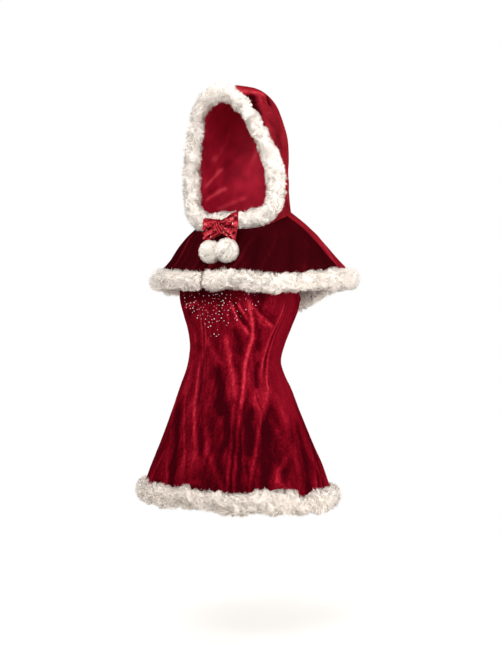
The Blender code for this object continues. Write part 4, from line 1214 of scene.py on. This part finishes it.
def fur_material(name, root, tip):
    """Fur whose hairs run from a darker colour at the root, painted shade deep in the pile, to a lighter one
    at the tip.
    """
    material, tree = new_material(name)
    depth = add(tree, "ShaderNodeAttribute", attribute_name="along hair").outputs["Fac"]
    spot = add(tree, "ShaderNodeTexCoord").outputs["Object"]
    tufts = add(tree, "ShaderNodeTexNoise", {
        "Vector": spot, "Scale": 1 / FUR_PATCH, "Detail": 2.0}).outputs[0]
    tone = add(tree, "ShaderNodeAttribute", attribute_name="tone").outputs["Fac"]
    shade = weighted(tree, 0.5, (tufts, 0.35), (tone, 0.14), (depth, 0.5))
    ramp = add(tree, "ShaderNodeValToRGB", {0: shade})
    ramp.color_ramp.elements[0].color = linear(root)
    ramp.color_ramp.elements[1].color = linear(tip)
    outward = add(tree, "ShaderNodeAttribute", attribute_name="fur outward").outputs["Vector"]
    shader = add(tree, "ShaderNodeBsdfPrincipled", {
        "Base Color": ramp.outputs[0], "Roughness": 0.9, "IOR": 1.45, "Specular IOR Level": 0.1,
        "Sheen Weight": 0.2, "Sheen Roughness": 0.5, "Normal": outward})
    inward = add(tree, "ShaderNodeVectorMath", {0: outward, "Scale": -1.0}, operation="SCALE")
    through = add(tree, "ShaderNodeBsdfTranslucent", {"Color": ramp.outputs[0], "Normal": inward.outputs[0]})
    both = add(tree, "ShaderNodeAddShader", {0: shader.outputs[0], 1: through.outputs[0]})
    add(tree, "ShaderNodeOutputMaterial", {"Surface": both.outputs[0]})
    return material


# One white fur in four brightnesses: the hem's darker colours are painted shade, the pompoms' lighter ones
# painted light.
hem_fur = fur_material("acrylic faux fur of the hem", "#cec5bc", "#e0d9d1")
cape_fur = fur_material("acrylic faux fur of the capelet", "#dad1c8", "#ece6df")
hood_fur = fur_material("acrylic faux fur of the hood", "#e4dcd4", "#eee9e3")
pompom_fur = fur_material("acrylic pompom fur", "#f0e8e0", "#fcf8f2")
print("furs:", [fur.name for fur in (hem_fur, cape_fur, hood_fur, pompom_fur)])

# %% Geometry nodes for the pile
fur_tree, sockets, given = new_tree("pile of fur", "Surface", {
    "Hairs per square metre": "Float", "Hair length": "Float", "Hair width": "Float", "Sink": "Float",
    "Lump height": "Float", "Lump size": "Float", "Tuft size": "Float", "Gathering": "Float",
    "Lean": "Float", "Cloth side": "Vector", "Seed": "Int", "Material": "Material"})


def in_fur(kind, inputs=None, output=0, **settings):
    """Add a node to the fur tree and return one of its outputs."""
    return add(fur_tree, kind, inputs, **settings).outputs[output]


def vector_sum(*vectors):
    """Add up vectors in the fur tree."""
    total = vectors[0]
    for vector in vectors[1:]:
        total = in_fur("ShaderNodeVectorMath", {0: total, 1: vector}, operation="ADD")
    return total


def centred_noise(size_socket, strength, detail=1.0):
    """Three noises from -1 to 1, times a strength, whose lumps have the size that a socket gives."""
    scale = in_fur("ShaderNodeMath", {0: 1.0, 1: size_socket}, operation="DIVIDE")
    noise = in_fur("ShaderNodeTexNoise", {"Scale": scale, "Detail": detail}, output="Color")
    centred = in_fur("ShaderNodeVectorMath", {0: noise, 1: (0.5, 0.5, 0.5)}, operation="SUBTRACT")
    whole = in_fur("ShaderNodeVectorMath", {0: centred, "Scale": 2.4}, operation="SCALE")
    return in_fur("ShaderNodeVectorMath", {0: whole, "Scale": strength}, operation="SCALE")


# The surface under the hairs, higher where the band meets its cloth
normal = in_fur("GeometryNodeInputNormal")
facing = in_fur("ShaderNodeVectorMath", {0: normal, 1: given["Cloth side"]}, output="Value",
                operation="DOT_PRODUCT")
meeting = in_fur("ShaderNodeMath", {0: facing, 1: 0.0}, operation="MAXIMUM")
shallow = in_fur("ShaderNodeMath", {0: meeting, 1: -1.3, 2: 1.0}, operation="MULTIPLY_ADD")
sunk = in_fur("ShaderNodeMath", {0: given["Sink"], 1: shallow}, operation="MULTIPLY")
lump = in_fur("ShaderNodeSeparateXYZ", {0: centred_noise(given["Lump size"], given["Lump height"], 2.0)})
rise = in_fur("ShaderNodeMath", {0: lump, 1: sunk}, operation="SUBTRACT")
stretch = in_fur("ShaderNodeMath", {0: meeting, 1: 0.2, 2: 1.0}, operation="MULTIPLY_ADD")
kept = in_fur("GeometryNodeStoreNamedAttribute", {
    "Geometry": given["Surface"], "Name": "longer", "Value": stretch}, data_type="FLOAT", domain="POINT")
offset = in_fur("ShaderNodeVectorMath", {0: normal, "Scale": rise}, operation="SCALE")
skin = in_fur("GeometryNodeSetPosition", {"Geometry": kept, "Offset": offset})
skin = in_fur("GeometryNodeStoreNamedAttribute", {"Geometry": skin, "Name": "fur outward", "Value": normal},
              data_type="FLOAT_VECTOR", domain="POINT")

# One hair: a pentagon drawn out into a pointed blade that bends as it goes up
PENTAGON_SPAN, PENTAGON_BASE = 0.5528, 0.4472       # turn its x into 0 at the root and 1 at the tip
PENTAGON_WIDTH = 0.526                              # turns its y into a share of the hair's width
HAIR_BEND = 0.26
blade = in_fur("GeometryNodeMeshCircle", {"Vertices": 5, "Radius": 1.0}, fill_type="NGON")
x, y, _ = add(fur_tree, "ShaderNodeSeparateXYZ", {0: in_fur("GeometryNodeInputPosition")}).outputs
up = in_fur("ShaderNodeMath", {0: x, 1: PENTAGON_SPAN, 2: PENTAGON_BASE}, operation="MULTIPLY_ADD")
squared = in_fur("ShaderNodeMath", {0: up, 1: up}, operation="MULTIPLY")
half = in_fur("ShaderNodeMath", {0: given["Hair width"], 1: PENTAGON_WIDTH}, operation="MULTIPLY")
hair_x = in_fur("ShaderNodeMath", {0: y, 1: half}, operation="MULTIPLY")
bent = in_fur("ShaderNodeMath", {0: squared, 1: HAIR_BEND}, operation="MULTIPLY")
hair_y = in_fur("ShaderNodeMath", {0: bent, 1: given["Hair length"]}, operation="MULTIPLY")
hair_z = in_fur("ShaderNodeMath", {0: up, 1: given["Hair length"]}, operation="MULTIPLY")
drawn = in_fur("ShaderNodeCombineXYZ", {"X": hair_x, "Y": hair_y, "Z": hair_z})
hair = in_fur("GeometryNodeStoreNamedAttribute", {"Geometry": blade, "Name": "along hair", "Value": up},
              data_type="FLOAT", domain="POINT")
hair = in_fur("GeometryNodeSetPosition", {"Geometry": hair, "Position": drawn})

# Hairs over the surface: the tips of each tuft lean together, and each tuft leans its own way
STANDING, DROOP = 0.65, -0.12       # how far a hair stands up, and how far it hangs
LEAN_SPAN = 3.0                     # tufts over which the lean turns
scatter = add(fur_tree, "GeometryNodeDistributePointsOnFaces", {
    "Mesh": skin, "Density": given["Hairs per square metre"], "Seed": given["Seed"]})
per_tuft = in_fur("ShaderNodeMath", {0: 1.0, 1: given["Tuft size"]}, operation="DIVIDE")
off_middle, _, tuft = add(fur_tree, "ShaderNodeTexVoronoi", {"Scale": per_tuft}).outputs[:3]
to_tuft = in_fur("ShaderNodeVectorMath", {0: tuft, 1: in_fur("GeometryNodeInputPosition")},
                 operation="SUBTRACT")
grown = in_fur("GeometryNodeInputNamedAttribute", {"Name": "fur outward"}, data_type="FLOAT_VECTOR")
above = in_fur("ShaderNodeVectorMath", {0: to_tuft, 1: grown}, output="Value", operation="DOT_PRODUCT")
over = in_fur("ShaderNodeVectorMath", {0: grown, "Scale": above}, operation="SCALE")
beside = in_fur("ShaderNodeVectorMath", {0: to_tuft, 1: over}, operation="SUBTRACT")
by_length = in_fur("ShaderNodeMath", {0: given["Gathering"], 1: given["Hair length"]}, operation="DIVIDE")
gathered = in_fur("ShaderNodeVectorMath", {0: beside, "Scale": by_length}, operation="SCALE")
lean_size = in_fur("ShaderNodeMath", {0: given["Tuft size"], 1: LEAN_SPAN}, operation="MULTIPLY")
wind = centred_noise(lean_size, 1.0)
lifted = in_fur("ShaderNodeVectorMath", {0: wind, 1: grown}, output="Value", operation="DOT_PRODUCT")
over = in_fur("ShaderNodeVectorMath", {0: grown, "Scale": lifted}, operation="SCALE")
flat = in_fur("ShaderNodeVectorMath", {0: wind, 1: over}, operation="SUBTRACT")
flat = in_fur("ShaderNodeVectorMath", {0: flat}, operation="NORMALIZE")
lean = in_fur("ShaderNodeVectorMath", {0: flat, "Scale": given["Lean"]}, operation="SCALE")
stray = in_fur("FunctionNodeRandomValue", {"Min": (-0.1, -0.1, -0.1), "Max": (0.1, 0.1, 0.1),
                                           "Seed": given["Seed"]}, data_type="FLOAT_VECTOR")
standing = in_fur("ShaderNodeVectorMath", {0: grown, "Scale": STANDING}, operation="SCALE")
way = vector_sum(standing, gathered, lean, stray, (0, 0, DROOP))
upright = in_fur("FunctionNodeAlignRotationToVector", {"Vector": way}, axis="Z")
angle = in_fur("FunctionNodeRandomValue", {"Min": 0.0, "Max": tau, "Seed": given["Seed"]}, output=1,
               data_type="FLOAT")
twist = in_fur("FunctionNodeAxisAngleToRotation", {"Axis": (0, 0, 1), "Angle": angle})
turned = in_fur("FunctionNodeRotateRotation", {"Rotation": upright, "Rotate By": twist},
                rotation_space="LOCAL")
# The length of each hair: by chance, longer beside the cloth and shorter at the rim of its tuft
size = in_fur("FunctionNodeRandomValue", {"Min": 0.85, "Max": 1.1, "Seed": 7}, output=1,
              data_type="FLOAT")
longer = in_fur("GeometryNodeInputNamedAttribute", {"Name": "longer"}, data_type="FLOAT")
size = in_fur("ShaderNodeMath", {0: size, 1: longer}, operation="MULTIPLY")
rim = in_fur("ShaderNodeMath", {0: off_middle, 1: -0.42, 2: 1.14}, operation="MULTIPLY_ADD")
size = in_fur("ShaderNodeMath", {0: size, 1: rim}, operation="MULTIPLY")
# The normal that its shading takes: the surface's, rounded over the tuft and a little at random
shade = in_fur("FunctionNodeRandomValue", {
    "Min": (-0.07, -0.07, -0.07), "Max": (0.07, 0.07, 0.07), "Seed": 8}, data_type="FLOAT_VECTOR")
rounding = in_fur("ShaderNodeVectorMath", {0: gathered, "Scale": -0.45}, operation="SCALE")
sweep = in_fur("ShaderNodeVectorMath", {0: lean, "Scale": 0.2}, operation="SCALE")
domed = vector_sum(grown, rounding, sweep, shade)
domed = in_fur("ShaderNodeVectorMath", {0: domed}, operation="NORMALIZE")
tone = in_fur("FunctionNodeRandomValue", {"Seed": 9}, output=1, data_type="FLOAT")
rooted = in_fur("GeometryNodeStoreNamedAttribute", {"Geometry": scatter.outputs["Points"],
                                                    "Name": "fur outward", "Value": domed},
                data_type="FLOAT_VECTOR", domain="POINT")
rooted = in_fur("GeometryNodeStoreNamedAttribute", {"Geometry": rooted, "Name": "tone", "Value": tone},
                data_type="FLOAT", domain="POINT")
hairs = in_fur("GeometryNodeInstanceOnPoints", {
    "Points": rooted, "Instance": hair, "Rotation": turned, "Scale": size})
hairs = in_fur("GeometryNodeRealizeInstances", {"Geometry": hairs})
joined = add(fur_tree, "GeometryNodeJoinGeometry")
fur_tree.links.new(hairs, joined.inputs[0])
fur_tree.links.new(skin, joined.inputs[0])
finished = in_fur("GeometryNodeSetMaterial", {"Geometry": joined.outputs[0], "Material": given["Material"]})
add(fur_tree, "NodeGroupOutput", {0: finished})
print(f"{fur_tree.name}: {len(fur_tree.nodes)} nodes")

# %% [markdown]
# ## The fur bands
#
# The three bands keep the CAD model's own run round the hood, the capelet and the hem. A copy of
# each is merged into quads, pulled a little by listed amounts and subdivided twice, and the tree
# does the rest. The hem has the largest lumps, and its tufts stand a few millimetres over the cloth above.

# %% Bands of fur
HAIR_LENGTH, HAIR_WIDTH, HAIR_SINK = 0.0125, 0.0013, 0.0058
LUMP_SIZE, TUFT_SIZE = 0.030, 0.0105


def rounded_copy(node):
    """A CAD band as quads, pulled about by the listed pulls and subdivided twice."""
    work = bmesh.new()
    work.from_mesh(nodes[node].data)
    bmesh.ops.remove_doubles(work, verts=work.verts, dist=1e-6)
    bmesh.ops.join_triangles(work, faces=work.faces, angle_face_threshold=radians(40),
                             angle_shape_threshold=radians(60))
    places = pulled(np.array([vert.co[:] for vert in work.verts]), PULLS[node])
    for vert, place in zip(work.verts, places):
        vert.co = place
    core = from_bmesh(work, node + " core")
    modifier = core.modifiers.new("round", "SUBSURF")
    modifier.levels = modifier.render_levels = 2
    return core


FUR_BANDS = [           # node, hairs per square metre, lump height, where its cloth lies, seed, material
    ("dress_fur_hem", 345000, 0.0130, (0, 0, 1), 41, hem_fur),
    ("cape_fur_hem", 385000, 0.0095, (0, 0, 0.8), 42, cape_fur),
    ("hood_fur_band", 445000, 0.0085, (0, 0.1, 0.2), 43, hood_fur),
]
for node, density, lump_height, cloth_side, seed, fur in FUR_BANDS:
    piece = with_tree(rounded_copy(node), fur_tree, sockets, {
        "Hairs per square metre": float(density), "Hair length": HAIR_LENGTH, "Hair width": HAIR_WIDTH,
        "Sink": HAIR_SINK, "Lump height": lump_height, "Lump size": LUMP_SIZE, "Tuft size": TUFT_SIZE,
        "Gathering": 0.8, "Lean": 0.75, "Cloth side": cloth_side, "Seed": seed, "Material": fur},
        node + "_pile")
    dress_in(piece, node)

# %% [markdown]
# ## The pompoms
#
# A pompom is a ball of yarn or fur ends that all leave its middle. Its core is a sphere of about
# 21 mm radius, and the same tree sets shorter, straighter and much closer hairs on it.

# %% Pompoms
POMPOMS = [             # node, core, hair length, move, seed
    ("pompom_left", 0.0215, 0.0095, (0, 0, 0), 51),
    ("pompom_right", 0.0205, 0.0092, (8, 2, 0), 52),
]
for node, core_radius, hair_length, move, seed in POMPOMS:
    low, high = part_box(node)
    work = bmesh.new()
    bmesh.ops.create_icosphere(work, subdivisions=4, radius=core_radius)
    bmesh.ops.translate(work, verts=work.verts, vec=(low + high) / 2 + Vector(move) * MM)
    core = from_bmesh(work, node + " core")
    piece = with_tree(core, fur_tree, sockets, {
        "Hairs per square metre": 2300000.0, "Hair length": hair_length, "Hair width": 0.0012, "Sink": 0.0,
        "Lump height": 0.0016, "Lump size": 0.014, "Tuft size": 0.005, "Gathering": 0.5, "Lean": 0.3,
        "Cloth side": (0, 0, 0), "Seed": seed, "Material": pompom_fur}, node + "_pile")
    dress_in(piece, node)

# %% [markdown]
# ## Crystals and sequins
#
# The bust carries hot-fixed crystals of 1.5 to 3.7 mm, scattered in a wedge whose point is in the
# middle of the front. The bow carries flat sequins and a few crystals. Another tree sets one
# small faceted stone wherever a `stones` value on the cloth allows it, at least a few millimetres
# apart, and turns it to the cloth.
#
# A crystal is pressed glass with a foil behind it, so each facet is a small mirror and the stone
# sparkles white. A sequin is a stamped disc under clear lacquer, red with one bright spot. The
# specks of both materials are as large as a stone, so that no two stones are alike.

# %% Materials of the stones
STONE_SPECK = 0.004
crystal = speckled("foiled glass crystal", "#e2e6ec", "#fff8f2", STONE_SPECK,
                   {"Metallic": 0.85, "Roughness": 0.16, "Coat Weight": 0.6})
sequin = speckled("lacquered red sequin", "#660a14", "#90101e", STONE_SPECK,
                  {"Metallic": 0.5, "Roughness": 0.22, "Coat Weight": 0.5})
print("stones:", crystal.name, "and", sequin.name)

# %% Geometry nodes that set stones
STONE_SIDES = 8
stone_tree, stone_sockets, given = new_tree("stones on cloth", "Cloth", {
    "Nearest": "Float", "Stones per square metre": "Float", "Smallest": "Float", "Largest": "Float",
    "Dome": "Float", "Seed": "Int", "Material": "Material"})
allowed = add(stone_tree, "GeometryNodeInputNamedAttribute", {"Name": "stones"}, data_type="FLOAT")
scatter = add(stone_tree, "GeometryNodeDistributePointsOnFaces", {
    "Mesh": given["Cloth"], "Distance Min": given["Nearest"],
    "Density Max": given["Stones per square metre"], "Density Factor": allowed.outputs[0],
    "Seed": given["Seed"]}, distribute_method="POISSON")
cone = add(stone_tree, "GeometryNodeMeshCone", {
    "Vertices": STONE_SIDES, "Radius Top": 0.28, "Radius Bottom": 0.5, "Depth": given["Dome"]})
chance = add(stone_tree, "FunctionNodeRandomValue", {"Seed": 3}, data_type="FLOAT").outputs[1]
rare = add(stone_tree, "ShaderNodeMath", {0: chance, 1: 2.2}, operation="POWER").outputs[0]
size = add(stone_tree, "ShaderNodeMapRange", {"Value": rare, "To Min": given["Smallest"],
                                              "To Max": given["Largest"]})
stones = add(stone_tree, "GeometryNodeInstanceOnPoints", {
    "Points": scatter.outputs["Points"], "Instance": cone.outputs[0],
    "Rotation": scatter.outputs["Rotation"], "Scale": size.outputs[0]})
stones = add(stone_tree, "GeometryNodeRealizeInstances", {"Geometry": stones.outputs[0]})
stones = add(stone_tree, "GeometryNodeSetShadeSmooth", {"Geometry": stones.outputs[0], "Shade Smooth": False})
stones = add(stone_tree, "GeometryNodeSetMaterial", {"Geometry": stones.outputs[0],
                                                      "Material": given["Material"]})
add(stone_tree, "NodeGroupOutput", {0: stones.outputs[0]})
print(f"{stone_tree.name}: {len(stone_tree.nodes)} nodes")


def stones_on(name, grids, masks, values):
    """Set stones on grids of points, as thickly as each mask says."""
    points, quads, allowed = [], [], []
    for grid, mask in zip(grids, masks):
        faces, _ = grid_faces(*grid.shape[:2], len(points))
        points += grid.reshape(-1, 3).tolist()
        quads += faces.tolist()
        allowed += mask.ravel().tolist()
    mesh = bpy.data.meshes.new(name + " cloth")
    mesh.from_pydata(points, [], quads)
    mesh.attributes.new("stones", "FLOAT", "POINT").data.foreach_set("value", allowed)
    piece = with_tree(placed(name + " cloth", mesh), stone_tree, stone_sockets, values, name)
    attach(piece, "root")
    print(f"{name}: {len(piece.data.polygons) // (STONE_SIDES + 2)} stones")


# %% Crystals on the bust, stones on the bow
WEDGE_SIDES = [         # height, azimuths between which crystals lie
    (-176, -52, 62), (-200, -46, 58), (-225, -34, 47), (-240, -22, 38), (-262, -12, 27), (-290, 2, 8),
]


def wedge(points):
    """1 inside the wedge of crystals on the bust, thinner toward its sides, 0 outside."""
    x, y, z = np.moveaxis(points / MM, -1, 0)
    azimuth = np.degrees(np.arctan2(x, DRESS_AXIS_Y / MM - y))
    heights, right, left = np.array(sorted(WEDGE_SIDES)).T
    right, left = np.interp(z, heights, right), np.interp(z, heights, left)
    aside = np.abs(azimuth - (right + left) / 2) / (left - right) * 2
    return np.where((aside < 1) & (z < heights[-1]) & (z > heights[0]), 1 - 0.35 * aside, 0)


BOW_FRONT = 0.004       # how far behind the middle of a loop its front still reaches
stones_on("bust_crystals", bust_rows, [wedge(rows) for rows in bust_rows], {
    "Nearest": 0.0064, "Stones per square metre": 18000.0, "Smallest": 0.0015, "Largest": 0.0037,
    "Dome": 0.34, "Seed": 5, "Material": crystal})
outside = [(rows[..., 1] < rows[..., 1].mean() + BOW_FRONT).astype(float) for rows in bow_rows]
stones_on("bow_sequins", bow_rows, outside, {
    "Nearest": 0.0048, "Stones per square metre": 14000.0, "Smallest": 0.0022, "Largest": 0.0030,
    "Dome": 0.12, "Seed": 6, "Material": sequin})
stones_on("bow_crystals", bow_rows, outside, {
    "Nearest": 0.0090, "Stones per square metre": 7000.0, "Smallest": 0.0016, "Largest": 0.0034,
    "Dome": 0.34, "Seed": 12, "Material": crystal})

# %% [markdown]
# ## What each piece of cloth was cut from
#
# A sheet of cloth hardly stretches, so the size that each piece was cut to is printed: its width,
# its height and its area. The sizes are those of the CAD panels, measured along their curves, and for
# the bow those of the loops and the knot as they are formed here.

# %% Cuts
for node, (wide, tall, area) in cut_sizes.items():
    print(f"{node}: cut {wide / MM:.0f} x {tall / MM:.0f} mm, {area * 1e4:.0f} square cm")
